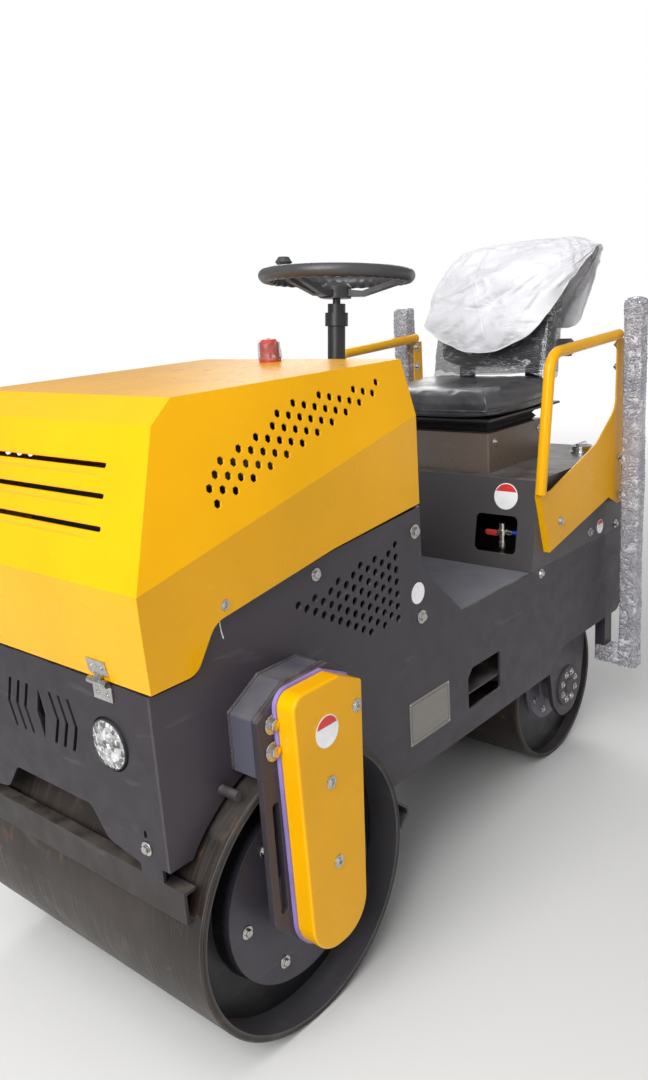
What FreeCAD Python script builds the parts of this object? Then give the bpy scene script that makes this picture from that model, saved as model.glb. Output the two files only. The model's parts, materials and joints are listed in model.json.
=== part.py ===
import FreeCAD, Part
import math
import os

Vec = FreeCAD.Vector

# A small ride-on road roller with two smooth drums, in millimetres.
# Everything is drawn from the ground point under the front drum's axle:
# x runs forward, y to the operator's left and z up.
# The finished pieces are then moved so that the origin lies under the
# middle of the whole machine.

# Front drum, its arms and the arch over it
drum_r = 280.0
drum_wall = 14.0
drum_overhang = 46.0             # the drum stands out of the body on each side
drum_recess = 70.0               # from the rim to the end plate
drum_gap = 13.0                  # between the drum and the arch in the side plate
flange_r = 188.0
flange_rise = 41.0               # raised flange above the drum's end plate
boss_r = 64.0
axle_r = 30.0
arm_gap = 16.0                   # between the drum's rim and the arm plate
arm_t = 12.0
arm_half = 130.0
arm_foot_r = 60.0
bracket_height = 150.0
slot_half = 18.0                 # half the width of the arm's long slots
slot_length = 220.0

# Body
body_half = 323.0                # half the width over the side plates
plate = 6.0                      # side plates, panels and decks
sheet = 3.0                      # hood and guards
panel_ahead = 4.0                # front panel ahead of the drum
leg_lift = 150.0                 # foot of the front panel above the drum's axle
sill_z = 325.0                   # lower edge of the side plates
rear_sill_lift = 158.0           # the same over the steered drum, above its axle
deck_clear = 15.0                # engine deck above the arch
floor_clear = 67.0               # operator's floor above the kingpin's nut
wheelbase = 1197.0
rear_overhang = 273.0            # rear axle to the rear panel
engine_half = 205.0
engine_height = 446.0
engine_front_gap = 164.0         # front panel to the engine
engine_rear_gap = 117.0          # hood's rear edge to the engine
hatch_ahead = 160.0              # hatch in the side plate ahead of the seat's foot
hatch_length = 145.0
hatch_height = 99.0
hatch_lift = 60.0                # hatch above the side plate's lower edge
shelf_depth = 102.0              # shelf behind the hatch
shelf_margin = 20.0              # shelf longer than the hatch at its rear end

# Rear drum and its yoke
rear_r = 222.0
rear_inset = 73.0                # the drum's end inside the side plate
rear_wall = 12.0
rear_recess = 30.0
rear_axle_r = 25.0
yoke_gap = 26.0                  # between the drum's end and a yoke leg
yoke_t = 12.0
yoke_plate = 16.0
yoke_clear = 24.0                # between the drum and the yoke's top plate
yoke_half = 112.0
kingpin_r = 40.0
housing_height = 52.0
bearing_gap = 16.0               # height of the thrust ring under the housing
nut_height = 18.0
running_gap = 5.0                # round everything that swings
steer_gap = 0.3                  # between faces that slide on each other
pin_gap = 0.1                    # radial play of a pin in its bore

# Hood
hood_edge_z = 775.0              # lower edge above the front panel
hood_height = 443.0
hood_length = 741.0
hood_inset = 33.0                # the flat top is narrower than the body, each side
hood_slope = 0.292               # widening of the upper side facet for each mm down
nose = 34.0                      # foremost crease ahead of the front panel
crease_front_drop = 267.0        # creases below the top
crease_rear_drop = 113.0
hood_gap = 6.0                   # between the hood and the body below it
cap_r = 21.0
cap_height = 48.0                # red cap with its socket above the hood's top
cap_ahead = 57.0                 # cap ahead of the hood's rear edge
dash_margin = 133.0              # side plate's outer face to the instrument box
dash_height = 130.0
dash_drop = 58.0                 # instrument box below the hood's top
dash_depth = 70.0
lever_width = 60.0               # lever's housing beside the instrument box
lever_drop = 50.0                # lever's housing below the top of the box
louvre_height = 8.0
hex_r = 8.0
hex_pitch = 27.4
vent_r = 8.0
vent_pitch = 26.5
hinge_half = 25.0
hinge_pin_r = 2.5
knuckle_r = 6.0

# Lamps
lamp_inset = 122.0               # from the body's side to the lamp's middle
lamp_drop = 119.0                # below the hood's edge
lamp_r = 46.0
lamp_rim = 3.0

# Belt guard on the left arm
seal_t = 8.0
guard_depth = 38.0
guard_edge_r = 5.0

# Steering column and wheel
wheel_r = 180.0
rim_r = 14.0
column_r = 20.5
column_behind = 88.0             # column's foot behind the bulkhead
column_lean = 75.0               # the wheel's middle behind the column's foot
wheel_above = 753.0              # the wheel's middle above the floor
spindle_r = 9.0

# Operator's seat
seat_ahead = 267.0               # foot of the seat base ahead of the rear axle
base_height = 231.0
seat_sheet = 4.0                 # walls of the seat base
seat_lean = 0.195                # backward lean of its front for each mm up
window_w = 122.0
window_h = 97.0
hose_r = 5.0
suspension_half = 163.0
suspension_height = 104.0
suspension_length = 300.0
bellows_height = 37.0
seat_half = 220.0
cushion_length = 410.0
cushion_height = 75.0
backrest_half = 200.0
backrest_height = 314.0

# Guards, rails and posts
rail_out = 15.0                  # guard and rail outside the body's side
rail_r = 14.0
rail_bend = 55.0
guard_sheet_t = 4.0
post_out = 60.0                  # post outside the body's side
post_ahead = 65.0                # post ahead of the rear panel
post_half = 22.0
wrap_t = 8.0
post_top = 1272.0
foot_z = 260.0

# Steering cylinder, from the kingpin's axis
cyl_base_x = 420.0
cyl_base_y = -140.0
cyl_eye_x = -40.0
cyl_eye_y = -120.0
cyl_r = 20.0
cyl_rod_r = 12.0

# Places that follow from the sizes above
arch_r = drum_r + drum_gap
arch_top = drum_r + arch_r
panel_x = drum_r + panel_ahead
overall_front = panel_x + nose
rear_axle_x = -wheelbase
overall_rear = rear_axle_x - rear_overhang
hood_rear = panel_x - hood_length
hood_top = hood_edge_z + hood_height
hood_top_half = body_half - hood_inset
crease_front_z = hood_top - crease_front_drop
crease_rear_z = hood_top - crease_rear_drop
inner = body_half - plate
drum_half = body_half + drum_overhang
dash_half = body_half - dash_margin
arm_y = drum_half + arm_gap
guard_y = arm_y + arm_t + seal_t
guard_outer = guard_y + guard_depth
bracket_z = arch_top + 1
arm_top = bracket_z + bracket_height
leg_z = drum_r + leg_lift
corner_z = leg_z + 26
deck_x = hood_rear - 2
engine_z = arch_top + deck_clear + plate
rear_half = body_half - rear_inset
yoke_y = rear_half + yoke_gap
yoke_top = 2 * rear_r + yoke_clear + yoke_plate
housing_z = yoke_top + bearing_gap
nut_z = housing_z + housing_height
floor_z = nut_z + nut_height + floor_clear
rear_sill_z = rear_r + rear_sill_lift
swing_r = math.hypot(rear_r, rear_half) + running_gap
cyl_z = yoke_top + 26
deck_z = floor_z + base_height
seat_foot_x = rear_axle_x + seat_ahead
suspension_front = seat_foot_x - 70
pan_z = deck_z + suspension_height + bellows_height
cushion_z = pan_z + seat_sheet + 2
cushion_top = cushion_z + cushion_height
hinge_x = panel_x + 9
hinge_z = hood_edge_z - 2
hinge_y = body_half - 118
lamp_y = body_half - lamp_inset
lamp_z = hood_edge_z - lamp_drop
column_foot_x = hood_rear - column_behind
wheel_x = column_foot_x - column_lean
wheel_z = floor_z + wheel_above
rail_y = body_half + rail_out
post_x = overall_rear + post_ahead
post_y = body_half + post_out

kept = []


def keep(name, shape):
    """Moves a finished piece to the machine's own origin and writes it."""
    whole = shape.copy()
    whole.translate(Vec(-(overall_front + overall_rear) / 2, 0, 0))
    os.makedirs("parts", exist_ok=True)
    whole.exportStep("parts/" + name + ".step")
    kept.append(name)


def box(x0, x1, y0, y1, z0, z1):
    return Part.makeBox(x1 - x0, y1 - y0, z1 - z0, Vec(x0, y0, z0))


def rod_y(x, z, r, y0, y1):
    return Part.makeCylinder(r, y1 - y0, Vec(x, y0, z), Vec(0, 1, 0))


def rod_x(y, z, r, x0, x1):
    return Part.makeCylinder(r, x1 - x0, Vec(x0, y, z), Vec(1, 0, 0))


def rod_z(x, y, r, z0, z1):
    return Part.makeCylinder(r, z1 - z0, Vec(x, y, z0))


def bend_points(before, corner, after, radius):
    """Start, middle and end of the arc that rounds a corner."""
    to_before = before - corner
    to_after = after - corner
    turn = to_before.getAngle(to_after)
    back = radius / math.tan(turn / 2)
    to_before.normalize()
    to_after.normalize()
    middle = to_before + to_after
    middle.normalize()
    top = corner + middle * (radius / math.sin(turn / 2) - radius)
    return corner + to_before * back, top, corner + to_after * back


def outline(rows, place):
    """A closed wire of straight sides; a row is (u, v) or (u, v, corner radius)."""
    corners = [Vec(row[0], row[1], 0) for row in rows]
    radii = [row[2] if len(row) > 2 else 0.0 for row in rows]
    ends = []
    for i, corner in enumerate(corners):
        if radii[i] > 0:
            following = corners[(i + 1) % len(corners)]
            ends.append(bend_points(corners[i - 1], corner, following, radii[i]))
        else:
            ends.append((corner, None, corner))
    edges = []
    for i, (start, top, stop) in enumerate(ends):
        if top is not None:
            edges.append(Part.Arc(place(start), place(top), place(stop)).toShape())
        following = ends[(i + 1) % len(ends)][0]
        if stop.distanceToPoint(following) > 0.001:
            edges.append(Part.LineSegment(place(stop), place(following)).toShape())
    return Part.Wire(edges)


def plate_y(rows, y0, y1):
    """A plate across y from rows of (x, z, corner radius)."""
    wire = outline(rows, lambda p: Vec(p.x, y0, p.y))
    return Part.Face(wire).extrude(Vec(0, y1 - y0, 0))


def plate_x(rows, x0, x1):
    """A plate across x from rows of (y, z, corner radius)."""
    wire = outline(rows, lambda p: Vec(x0, p.x, p.y))
    return Part.Face(wire).extrude(Vec(x1 - x0, 0, 0))


def plate_z(rows, z0, z1):
    """A plate across z from rows of (x, y, corner radius)."""
    wire = outline(rows, lambda p: Vec(p.x, p.y, z0))
    return Part.Face(wire).extrude(Vec(0, 0, z1 - z0))


def slot_rows(u, v, half_u, half_v):
    """A slot or rounded window about (u, v); its short side is fully round."""
    r = min(half_u, half_v) - 0.1
    return [(u - half_u, v - half_v, r), (u + half_u, v - half_v, r),
            (u + half_u, v + half_v, r), (u - half_u, v + half_v, r)]


def fused(shapes):
    return shapes[0].multiFuse(shapes[1:]).removeSplitter()


def mirrored(shape):
    """The same piece on the other side of the machine."""
    return shape.mirror(Vec(0, 0, 0), Vec(0, 1, 0))


def both_sides(shape):
    return Part.makeCompound([shape, mirrored(shape)])


def turned(rows, x, z):
    """A solid of revolution about a drum's axle from rows of (radius, y)."""
    points = [Vec(x + row[0], row[1], z) for row in rows]
    wire = Part.makePolygon(points + points[:1])
    return Part.Face(wire).revolve(Vec(x, 0, z), Vec(0, 1, 0), 360)


def tube(points, bend, radius):
    """Round bar along straight runs and tangent arcs; points are (x, y, z)."""
    corners = [Vec(*p) for p in points]
    edges = []
    start = corners[0]
    for i in range(1, len(corners) - 1):
        first, top, last = bend_points(corners[i - 1], corners[i], corners[i + 1], bend)
        edges.append(Part.LineSegment(start, first).toShape())
        edges.append(Part.Arc(first, top, last).toShape())
        start = last
    edges.append(Part.LineSegment(start, corners[-1]).toShape())
    ring = Part.Wire(Part.makeCircle(radius, corners[0], corners[1] - corners[0]))
    return Part.Wire(edges).makePipeShell([ring], True, False)


# Lower edge of the hood along the side, as x, height above the front edge and corner radius
hood_edge = [
    (panel_x + 1, 0, 0),
    (panel_x - 97, 0, 30),
    (panel_x - 136, 78, 40),
    (panel_x - 450, 122.5, 0),
    (hood_rear, 146, 0),
]


def vent_centres():
    """Centres (x, z) of the round vents: a triangle of a hexagonal lattice."""
    columns = 14
    step = vent_pitch * math.sqrt(3) / 2
    front_x = panel_x - 353
    front_z = hood_edge_z + 39
    rise = 42 / ((columns - 1) * step)
    lowest = hood_edge_z - 81
    centres = []
    for column in range(columns):
        first = front_z - column * vent_pitch / 2
        for level in range(columns):
            z = first + level * vent_pitch
            if lowest <= z <= front_z + rise * column * step + 1:
                centres.append((front_x - column * step, z))
    return centres


def side_plate():
    """Left side plate with the arch over the drum, a hatch, vents and a stub pin."""
    arch_x = -math.sqrt(arch_r ** 2 - (corner_z - drum_r) ** 2)
    step_x = hood_rear - 152
    top = [(x - 5, hood_edge_z + lift - hood_gap, r) for x, lift, r in hood_edge[1:-1]]
    rows = [(panel_x, corner_z, 0), (panel_x, hood_edge_z - hood_gap, 0)] + top
    rows += [
        (hood_rear, hood_edge_z + 146 - hood_gap, 0),
        (hood_rear, hood_edge_z + 5, 15),
        (step_x, floor_z, 0),
        (overall_rear, floor_z, 0),
        (overall_rear, rear_sill_z, 30),
        (rear_axle_x + 92, rear_sill_z, 40),
        (rear_axle_x + 167, sill_z, 40),
        (arch_x, sill_z, 0),
        (arch_x, corner_z, 0),
    ]
    shape = plate_y(rows, inner, body_half)
    cuts = [rod_y(0, drum_r, arch_r, inner - 1, body_half + 1)]
    back, low = seat_foot_x + hatch_ahead, sill_z + hatch_lift
    front, top_z = back + hatch_length, low + hatch_height
    hatch = [
        (back, low, 6), (front, low, 6), (front, top_z - 20, 4), (front - 20, top_z, 4),
        (back, top_z, 6),
    ]
    cuts.append(plate_y(hatch, inner - 1, body_half + 1))
    for x, z in vent_centres():
        cuts.append(rod_y(x, z, vent_r, inner - 1, body_half + 1))
    shape = shape.cut(Part.makeCompound(cuts))
    pin_angle = math.radians(60)
    pin_x = (arch_r + 18) * math.cos(pin_angle)
    pin_z = drum_r + (arch_r + 18) * math.sin(pin_angle)
    stub_pin = rod_y(pin_x, pin_z, 9, inner + 2, body_half + 40)
    return fused([shape, stub_pin])


def front_panel():
    """Front panel with lamp holes, chevron vents and the cut-out over the drum."""
    leg_in, leg_out = body_half - 78, body_half - 20
    half = [
        (118, leg_z + 87, 18), (160, leg_z + 32, 25), (leg_in, leg_z + 17, 6), (leg_in, leg_z, 0),
        (leg_out, leg_z, 0), (leg_out, corner_z, 0), (inner, corner_z, 0),
        (inner, hood_edge_z - hood_gap, 0),
    ]
    other = [(-row[0], row[1], row[2]) for row in reversed(half)]
    shape = plate_x(half + other, panel_x - plate, panel_x)
    low, top = hood_edge_z - 165, hood_edge_z - 65
    mid = (low + top) / 2
    bend = 17
    back, front = panel_x - plate - 1, panel_x + 1
    cuts = [plate_x([(0, low), (13, mid), (0, top), (-13, mid)], back, front)]
    for side in (-1, 1):
        cuts.append(rod_x(side * lamp_y, lamp_z, lamp_r + lamp_rim, back, front))
        for y in (35, 62, 90):
            near, far = y - 4.5, y + 4.5
            chevron = [
                (near, low), (far, low), (far + bend, mid), (far, top), (near, top),
                (near + bend, mid),
            ]
            cuts.append(plate_x([(side * u, v) for u, v in chevron], back, front))
        cuts.append(plate_x(slot_rows(side * (leg_out - 35), leg_z + 78, 4, 9), back, front))
    return shape.cut(Part.makeCompound(cuts))


def headlamps():
    """Two round lamps: a flange behind the panel, a can and a domed lens in a rim."""
    back = panel_x - plate
    dome = 110
    lamps = []
    for side in (-1, 1):
        y = side * lamp_y
        flange = rod_x(y, lamp_z, lamp_r + lamp_rim + 7, back - 5, back)
        can = rod_x(y, lamp_z, lamp_r, back - 30, panel_x + 2)
        neck = rod_x(y, lamp_z, lamp_r - 14, back - 44, back - 30)
        lens = Part.makeSphere(dome, Vec(panel_x + 8 - dome, y, lamp_z))
        lens = lens.common(rod_x(y, lamp_z, lamp_r - 4, panel_x - 4, panel_x + 9))
        lamps.append(fused([flange, can, neck, lens]))
    return Part.makeCompound(lamps)


def front_scraper():
    """Folded channel across the front of the drum, under the front panel's legs."""
    half = drum_half - 17
    back = panel_x - plate
    rows = [
        (panel_x, leg_z - 60), (panel_x, leg_z), (panel_x - 26, leg_z), (panel_x - 26, leg_z - 6),
        (back, leg_z - 6), (back, leg_z - 54), (back - 6, leg_z - 54), (back - 6, leg_z - 60),
    ]
    return plate_y(rows, -half, half)


def back_scraper():
    """Bent bar behind the front drum with two lugs up to the belly plate."""
    half = drum_half - 17
    far = -arch_r
    rows = [
        (far + 5, sill_z - 3), (far - 39, sill_z - 41), (far - 39, sill_z - 59), (far - 9, sill_z - 82),
        (far - 5, sill_z - 77), (far - 33, sill_z - 56), (far - 33, sill_z - 44), (far + 9, sill_z - 8),
    ]
    bar = plate_y(rows, -half, half)
    lugs = [box(far - 27, far - 20, y - 20, y + 20, sill_z - 38, sill_z) for y in (-200, 200)]
    return fused([bar] + lugs)


def arm_bracket():
    """Box on the left side plate that carries the drum's arm, with a chamfered edge."""
    low, shoulder = bracket_z, bracket_z + 107
    side = arm_half - 4
    rows = [(-side, low), (side, low), (side, shoulder), (50, arm_top), (-50, arm_top), (-side, shoulder)]
    shape = plate_y(rows, body_half, arm_y)
    across = [e for e in shape.Edges if e.BoundBox.YLength > 1]
    slanted = [e for e in across if e.BoundBox.ZMax > shoulder - 1]
    return shape.makeFillet(min(8.0, (arm_y - body_half) / 3), slanted)


def front_arm():
    """Left arm plate with two long slots, a collar, the stub axle and its flange."""
    foot = drum_r - 92
    shoulder = bracket_z + 107
    rows = [
        (-arm_half, drum_r + 10, 15), (-arm_half, shoulder, 0), (-54, arm_top, 0),
        (54, arm_top, 0), (arm_half, shoulder, 0), (arm_half, drum_r + 10, 15),
        (37, foot, arm_foot_r), (-37, foot, arm_foot_r),
    ]
    shape = plate_y(rows, arm_y, arm_y + arm_t)
    slot_z = drum_r + 23 + slot_length / 2
    for x in (-103, 103):
        rows = slot_rows(x, slot_z, slot_half / 2, slot_length / 2)
        shape = shape.cut(plate_y(rows, arm_y - 1, arm_y + arm_t + 1))
    collar = turned([(0, arm_y), (80, arm_y), (80, arm_y - 8), (70, arm_y - 14), (70, drum_half - 14),
                     (0, drum_half - 14)], 0, drum_r)
    axle = rod_y(0, drum_r, axle_r, drum_half - drum_recess - 4, arm_y)
    return fused([shape, collar, axle])


def drum(x, radius, half, wall):
    """Rolled shell of a drum with its outer edges broken, lying on its axle."""
    break_edge = 3
    rows = [
        (radius - wall, -half), (radius - break_edge, -half), (radius, break_edge - half),
        (radius, half - break_edge), (radius - break_edge, half), (radius - wall, half),
    ]
    return turned(rows, x, radius)


def front_drum_ends():
    """End plates inside the shell, each pressed out into a round flange about the boss."""
    end = drum_half - drum_recess
    rim = drum_r - drum_wall
    bore = axle_r + pin_gap
    face, inside = end + flange_rise, end + flange_rise - 12
    rows = [
        (bore, end - 12), (boss_r, end - 12), (boss_r, inside), (flange_r - 10, inside),
        (flange_r - 8, end - 12), (rim, end - 12), (rim, end), (flange_r + 4, end),
        (flange_r, face), (boss_r + 6, face), (boss_r, face + 6), (boss_r - 6, drum_half - 18),
        (bore, drum_half - 18),
    ]
    closed = turned(rows, 0, drum_r)
    cover = rod_y(0, drum_r, bore + 6, end - 12, end - 6)
    return both_sides(fused([closed, cover]))


def rear_drum_ends():
    """End plates of the steered drum, each with a hub ring."""
    end = rear_half - rear_recess
    rim = rear_r - rear_wall
    bore = rear_axle_r + pin_gap
    rows = [
        (bore, end - 12), (rim, end - 12), (rim, end), (112, end), (108, end + 8), (56, end + 8),
        (50, end + 14), (50, rear_half + 6), (bore, rear_half + 6),
    ]
    closed = turned(rows, rear_axle_x, rear_r)
    cover = rod_y(rear_axle_x, rear_r, bore + 6, end - 12, end - 6)
    return both_sides(fused([closed, cover]))


def guard_rows(grow):
    """Outline of the belt guard, grown outwards all round: x, z, corner radius."""
    low, top = drum_r - 78, arm_top - 4
    return [
        (90 + grow, top + grow, 28 + grow), (79 + grow, low - grow, 70 + grow),
        (-68 - grow, low - grow, 70 + grow), (-92 - grow, top - 30 + grow / 2, 4), (-29, top + grow, 4),
    ]


def belt_guard():
    """Yellow guard, a shallow pressed pan with a rounded outer edge."""
    shape = plate_y(guard_rows(0), guard_y, guard_outer)
    rim = [e for e in shape.Edges
           if all(abs(v.Point.y - guard_outer) < 0.01 for v in e.Vertexes)]
    shape = shape.makeFillet(guard_edge_r, rim)
    return shape.cut(plate_y(guard_rows(-4), guard_y - 1, guard_outer - sheet))


def guard_seal():
    """Soft edge strip between the belt guard and the arm."""
    return plate_y(guard_rows(4), arm_y + arm_t, guard_y)


def travel_motor():
    """Hydraulic drive motor on the right arm, with a bolted flange and two hose ports."""
    face = arm_y + arm_t
    step = (guard_outer - face) / 4
    rows = [(0, face), (76, face), (76, face + step), (60, face + step), (56, face + 3 * step),
            (48, guard_outer), (0, guard_outer)]
    body = turned(rows, 0, drum_r)
    ports = [rod_z(x, face + 2 * step, 11, drum_r + 40, drum_r + 68) for x in (-22, 22)]
    nuts = [rod_z(x, face + 2 * step, 14, drum_r + 68, drum_r + 80) for x in (-22, 22)]
    return mirrored(fused([body] + ports + nuts))


def hood_section(x, crease_z, inset):
    """Half section of the hood across the machine, as rows of (y, z)."""
    crease = hood_top_half + hood_slope * (hood_top - crease_z)
    foot = body_half if x > 0 else crease
    return [
        (hood_top_half - inset, hood_top - inset),
        (crease - inset, crease_z),
        (foot - inset, hood_edge_z - 40),
    ]


def hood_body(inset):
    """The hood's outer form, or its inner form when it is inset by the sheet."""
    front = panel_x + 1
    rear = hood_rear - 1 if inset else hood_rear
    profile = [
        (rear, hood_top - inset),
        (panel_x - 134 - inset / 2, hood_top - inset),
        (panel_x - 81 - inset, hood_top - 37 - inset / 2),
        (overall_front - inset, crease_front_z),
        (front - inset, hood_edge_z),
    ]
    if inset:
        profile += [(front - inset, hood_edge_z - 60), (rear, hood_edge_z - 60)]
    else:
        profile += [(x, hood_edge_z + lift, r) for x, lift, r in hood_edge[1:]]
    side_on = plate_y(profile, -body_half - 80, body_half + 80)
    wires = []
    for x, crease_z in ((overall_front, crease_front_z), (hood_rear, crease_rear_z)):
        half = hood_section(x, crease_z, inset)
        end_x = x - 2 if inset and x < 0 else x
        points = [Vec(end_x, y, z) for y, z in half] + [Vec(end_x, -y, z) for y, z in reversed(half)]
        wires.append(Part.makePolygon(points + points[:1]))
    return side_on.common(Part.makeLoft(wires, True, True))


# Rows of the hood's hexagonal vents from the lowest up: first column and count
hex_rows = [
    (1, 1), (0, 3), (0, 4), (0, 5), (1, 5), (2, 5), (3, 5), (3, 6), (4, 6), (6, 5), (9, 3), (11, 1),
]


def hood_vents():
    """A slanting field of a hexagonal lattice through both upper side facets."""
    tilt = math.radians(15)
    flatten = math.cos(math.atan(hood_slope))
    along = Vec(-math.cos(tilt), 0, -math.sin(tilt) * flatten) * hex_pitch
    rise = math.radians(60) - tilt
    across = Vec(-math.cos(rise), 0, math.sin(rise) * flatten) * hex_pitch
    origin = Vec(panel_x - 159, 0, hood_top - 147)
    cuts = []
    for row, (first, count) in enumerate(hex_rows):
        for column in range(first, first + count):
            centre = origin + along * column + across * (row - 1)
            ring = []
            for corner in range(6):
                a = tilt + math.radians(30 + 60 * corner)
                ring.append((centre.x + hex_r * math.cos(a), centre.z + hex_r * math.sin(a)))
            cuts.append(plate_y(ring, -body_half - 90, body_half + 90))
    return cuts


def louvres():
    """Long slots with round ends through the front facet, wider further down."""
    cuts = []
    for drop, half in ((98, 218), (142, 232), (188, 246)):
        rows = slot_rows(0, hood_top - drop, half, louvre_height / 2)
        cuts.append(plate_x(rows, panel_x - 120, overall_front + 50))
    return cuts


def hood():
    """Folded sheet hood: two lofted forms give its wall, patterns cut its vents."""
    shape = hood_body(0).cut(hood_body(sheet))
    return shape.cut(Part.makeCompound(louvres() + hood_vents()))


def hood_face_x(z):
    """x of the hood's lower front facet at height z."""
    lift = (overall_front - panel_x - 1) / (crease_front_z - hood_edge_z)
    return panel_x + 1 + (z - hood_edge_z) * lift


def hinge_leaves():
    """Fixed and moving leaves of the two butt hinges at the hood's front edge."""
    fixed = []
    moving = []
    third = 2 * hinge_half / 3
    leaf_t = sheet
    for side in (-1, 1):
        y = side * hinge_y
        low = [
            (panel_x, hinge_z - 35), (panel_x + leaf_t, hinge_z - 35), (panel_x + leaf_t, hinge_z - 8),
            (hinge_x + 3, hinge_z - 3), (hinge_x, hinge_z), (panel_x + leaf_t, hinge_z - 4),
            (panel_x, hinge_z - 5),
        ]
        leaf = plate_y(low, y - hinge_half, y + hinge_half)
        barrel = rod_y(hinge_x, hinge_z, knuckle_r, y - hinge_half, y + hinge_half)
        slot = rod_y(hinge_x, hinge_z, knuckle_r + 2, y - third / 2 - 0.5, y + third / 2 + 0.5)
        pin = rod_y(hinge_x, hinge_z, hinge_pin_r, y - hinge_half, y + hinge_half)
        fixed.append(fused([leaf, barrel]).cut(slot).fuse(pin).removeSplitter())
        foot, head = hinge_z + 9, hinge_z + 39
        high = [
            (hood_face_x(foot), foot), (hood_face_x(head), head), (hood_face_x(head) + leaf_t, head),
            (hood_face_x(foot + 4) + leaf_t, foot + 4), (hinge_x + 5, hinge_z + 3), (hinge_x, hinge_z + 1),
        ]
        eye = rod_y(hinge_x, hinge_z, knuckle_r, y - third / 2, y + third / 2)
        tongue = plate_y(high, y - third / 2, y + third / 2)
        wide = plate_y(high[:4], y - hinge_half, y + hinge_half)
        bore = rod_y(hinge_x, hinge_z, hinge_pin_r + pin_gap, y - third, y + third)
        moving.append(fused([eye, tongue, wide]).cut(bore))
    return Part.makeCompound(fixed), Part.makeCompound(moving)


def red_cap():
    """Capped socket on top of the hood."""
    x, y = hood_rear + cap_ahead, -20
    socket = rod_z(x, y, cap_r + 3, hood_top, hood_top + 10)
    cap = rod_z(x, y, cap_r, hood_top + 10, hood_top + cap_height)
    edge = [e for e in cap.Edges if e.BoundBox.ZMin > hood_top + cap_height - 1]
    return fused([socket, cap.makeChamfer(6, edge)])


def bulkhead():
    """Wall between the engine bay and the operator, inside the hood's rear edge."""
    top_z = hood_top - 20
    side_z = hood_edge_z + 125
    half = [
        (inner, engine_z - plate), (inner, side_z), (inner - 7, side_z),
        (inner - 7, crease_rear_z), (hood_top_half - 8, top_z),
    ]
    rows = half + [(-y, z) for y, z in reversed(half)]
    return plate_x(rows, hood_rear - 6, hood_rear - 2)


def dashboard():
    """Sloping instrument box on the operator's side of the bulkhead."""
    x = hood_rear - 6
    top = hood_top - dash_drop
    low, back = top - dash_height, x - dash_depth
    rows = [(x, low), (x, top), (x - 20, top, 8), (back, top - dash_depth, 8), (back, low, 8)]
    return plate_y(rows, -dash_half, dash_half)


def travel_lever():
    """Forward and reverse lever on the right of the instrument box."""
    x = hood_rear - 40
    y = -dash_half - lever_width / 2
    z = hood_top - dash_drop - lever_drop
    low = z - dash_height + lever_drop
    housing = box(x - 36, x + 34, -dash_half - lever_width, -dash_half, low, z)
    stem = Part.makeCylinder(6, 70, Vec(x, y, z - 5), Vec(0.1, 0, 1))
    grip = Part.makeCone(9, 15, 34, Vec(x + 5, y, z + 50), Vec(0.1, 0, 1))
    return fused([housing, stem, grip])


def steering_column():
    """Leaning tube from a floor flange up to the wheel, with the steering unit low down."""
    foot = Vec(column_foot_x, 0, floor_z)
    lean = Vec(wheel_x, 0, wheel_z) - foot
    length = lean.Length
    lean.normalize()
    tube_part = Part.makeCylinder(column_r, length - 62, foot, lean)
    flange = rod_z(column_foot_x, 0, 62, floor_z, floor_z + 10)
    unit = Part.makeCylinder(52, 130, foot + lean * 12, lean)
    collar = Part.makeCylinder(column_r + 6, 30, foot + lean * (length - 112), lean)
    spindle = Part.makeCylinder(spindle_r, length - 24, foot, lean)
    whole = fused([tube_part, flange, unit, collar, spindle])
    return whole.common(rod_z(column_foot_x, 0, 200, floor_z, wheel_z + 100))


def wheel_spoke(angle):
    """A spoke that drops from the rim towards the hub, with two legs that meet there."""
    reach = wheel_r - rim_r
    profile = [(20, -46), (20, -30), (62, -34), (reach - 34, -12), (reach, 5), (reach, -6),
               (reach - 30, -22), (62, -46)]
    wire = Part.makePolygon([Vec(r, -26, z) for r, z in profile + profile[:1]])
    web = Part.Face(wire).extrude(Vec(0, 52, 0))
    plan = [
        (16, -15), (reach + 2, -26), (reach + 2, -13), (70, -4), (70, 4), (reach + 2, 13),
        (reach + 2, 26), (16, 15),
    ]
    spoke = web.common(plate_z(plan, -60, 20))
    spoke.rotate(Vec(0, 0, 0), Vec(0, 0, 1), angle)
    return spoke


def steering_wheel():
    """Wheel with a padded rim, three dropped V spokes, a hub cap and a spinner knob."""
    lean = Vec(wheel_x - column_foot_x, 0, wheel_z - floor_z)
    lean.normalize()
    reach = wheel_r - rim_r
    parts = [Part.makeTorus(reach, rim_r)]
    parts.append(Part.makeCylinder(34, 26, Vec(0, 0, -50)))
    parts.append(Part.makeCone(34, 26, 8, Vec(0, 0, -24)))
    parts += [wheel_spoke(angle) for angle in (0, 120, 240)]
    knob_at = Vec(0, -reach, 0)
    parts.append(Part.makeCylinder(7, 36, knob_at))
    parts.append(Part.makeCone(11, 21, 14, knob_at + Vec(0, 0, 28)))
    parts.append(Part.makeCone(21, 13, 12, knob_at + Vec(0, 0, 42)))
    shape = fused(parts)
    shape = shape.cut(Part.makeCylinder(spindle_r + pin_gap, 29, Vec(0, 0, -51)))
    turn = FreeCAD.Rotation(Vec(0, 0, 1), lean)
    shape.Placement = FreeCAD.Placement(Vec(wheel_x, 0, wheel_z), turn)
    return shape


def floor_plate():
    """Operator's floor between the bulkhead and the seat base."""
    return box(seat_foot_x, hood_rear - 6, -inner, inner, floor_z - plate, floor_z)


def engine_deck():
    """Deck that carries the engine above the front drum."""
    return box(deck_x, panel_x - plate, -inner, inner, engine_z - plate, engine_z)


def engine():
    """Diesel engine as one plain block at its real place and size."""
    back, front = hood_rear + engine_rear_gap, panel_x - engine_front_gap
    return box(back, front, -engine_half, engine_half, engine_z, engine_z + engine_height)


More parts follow.
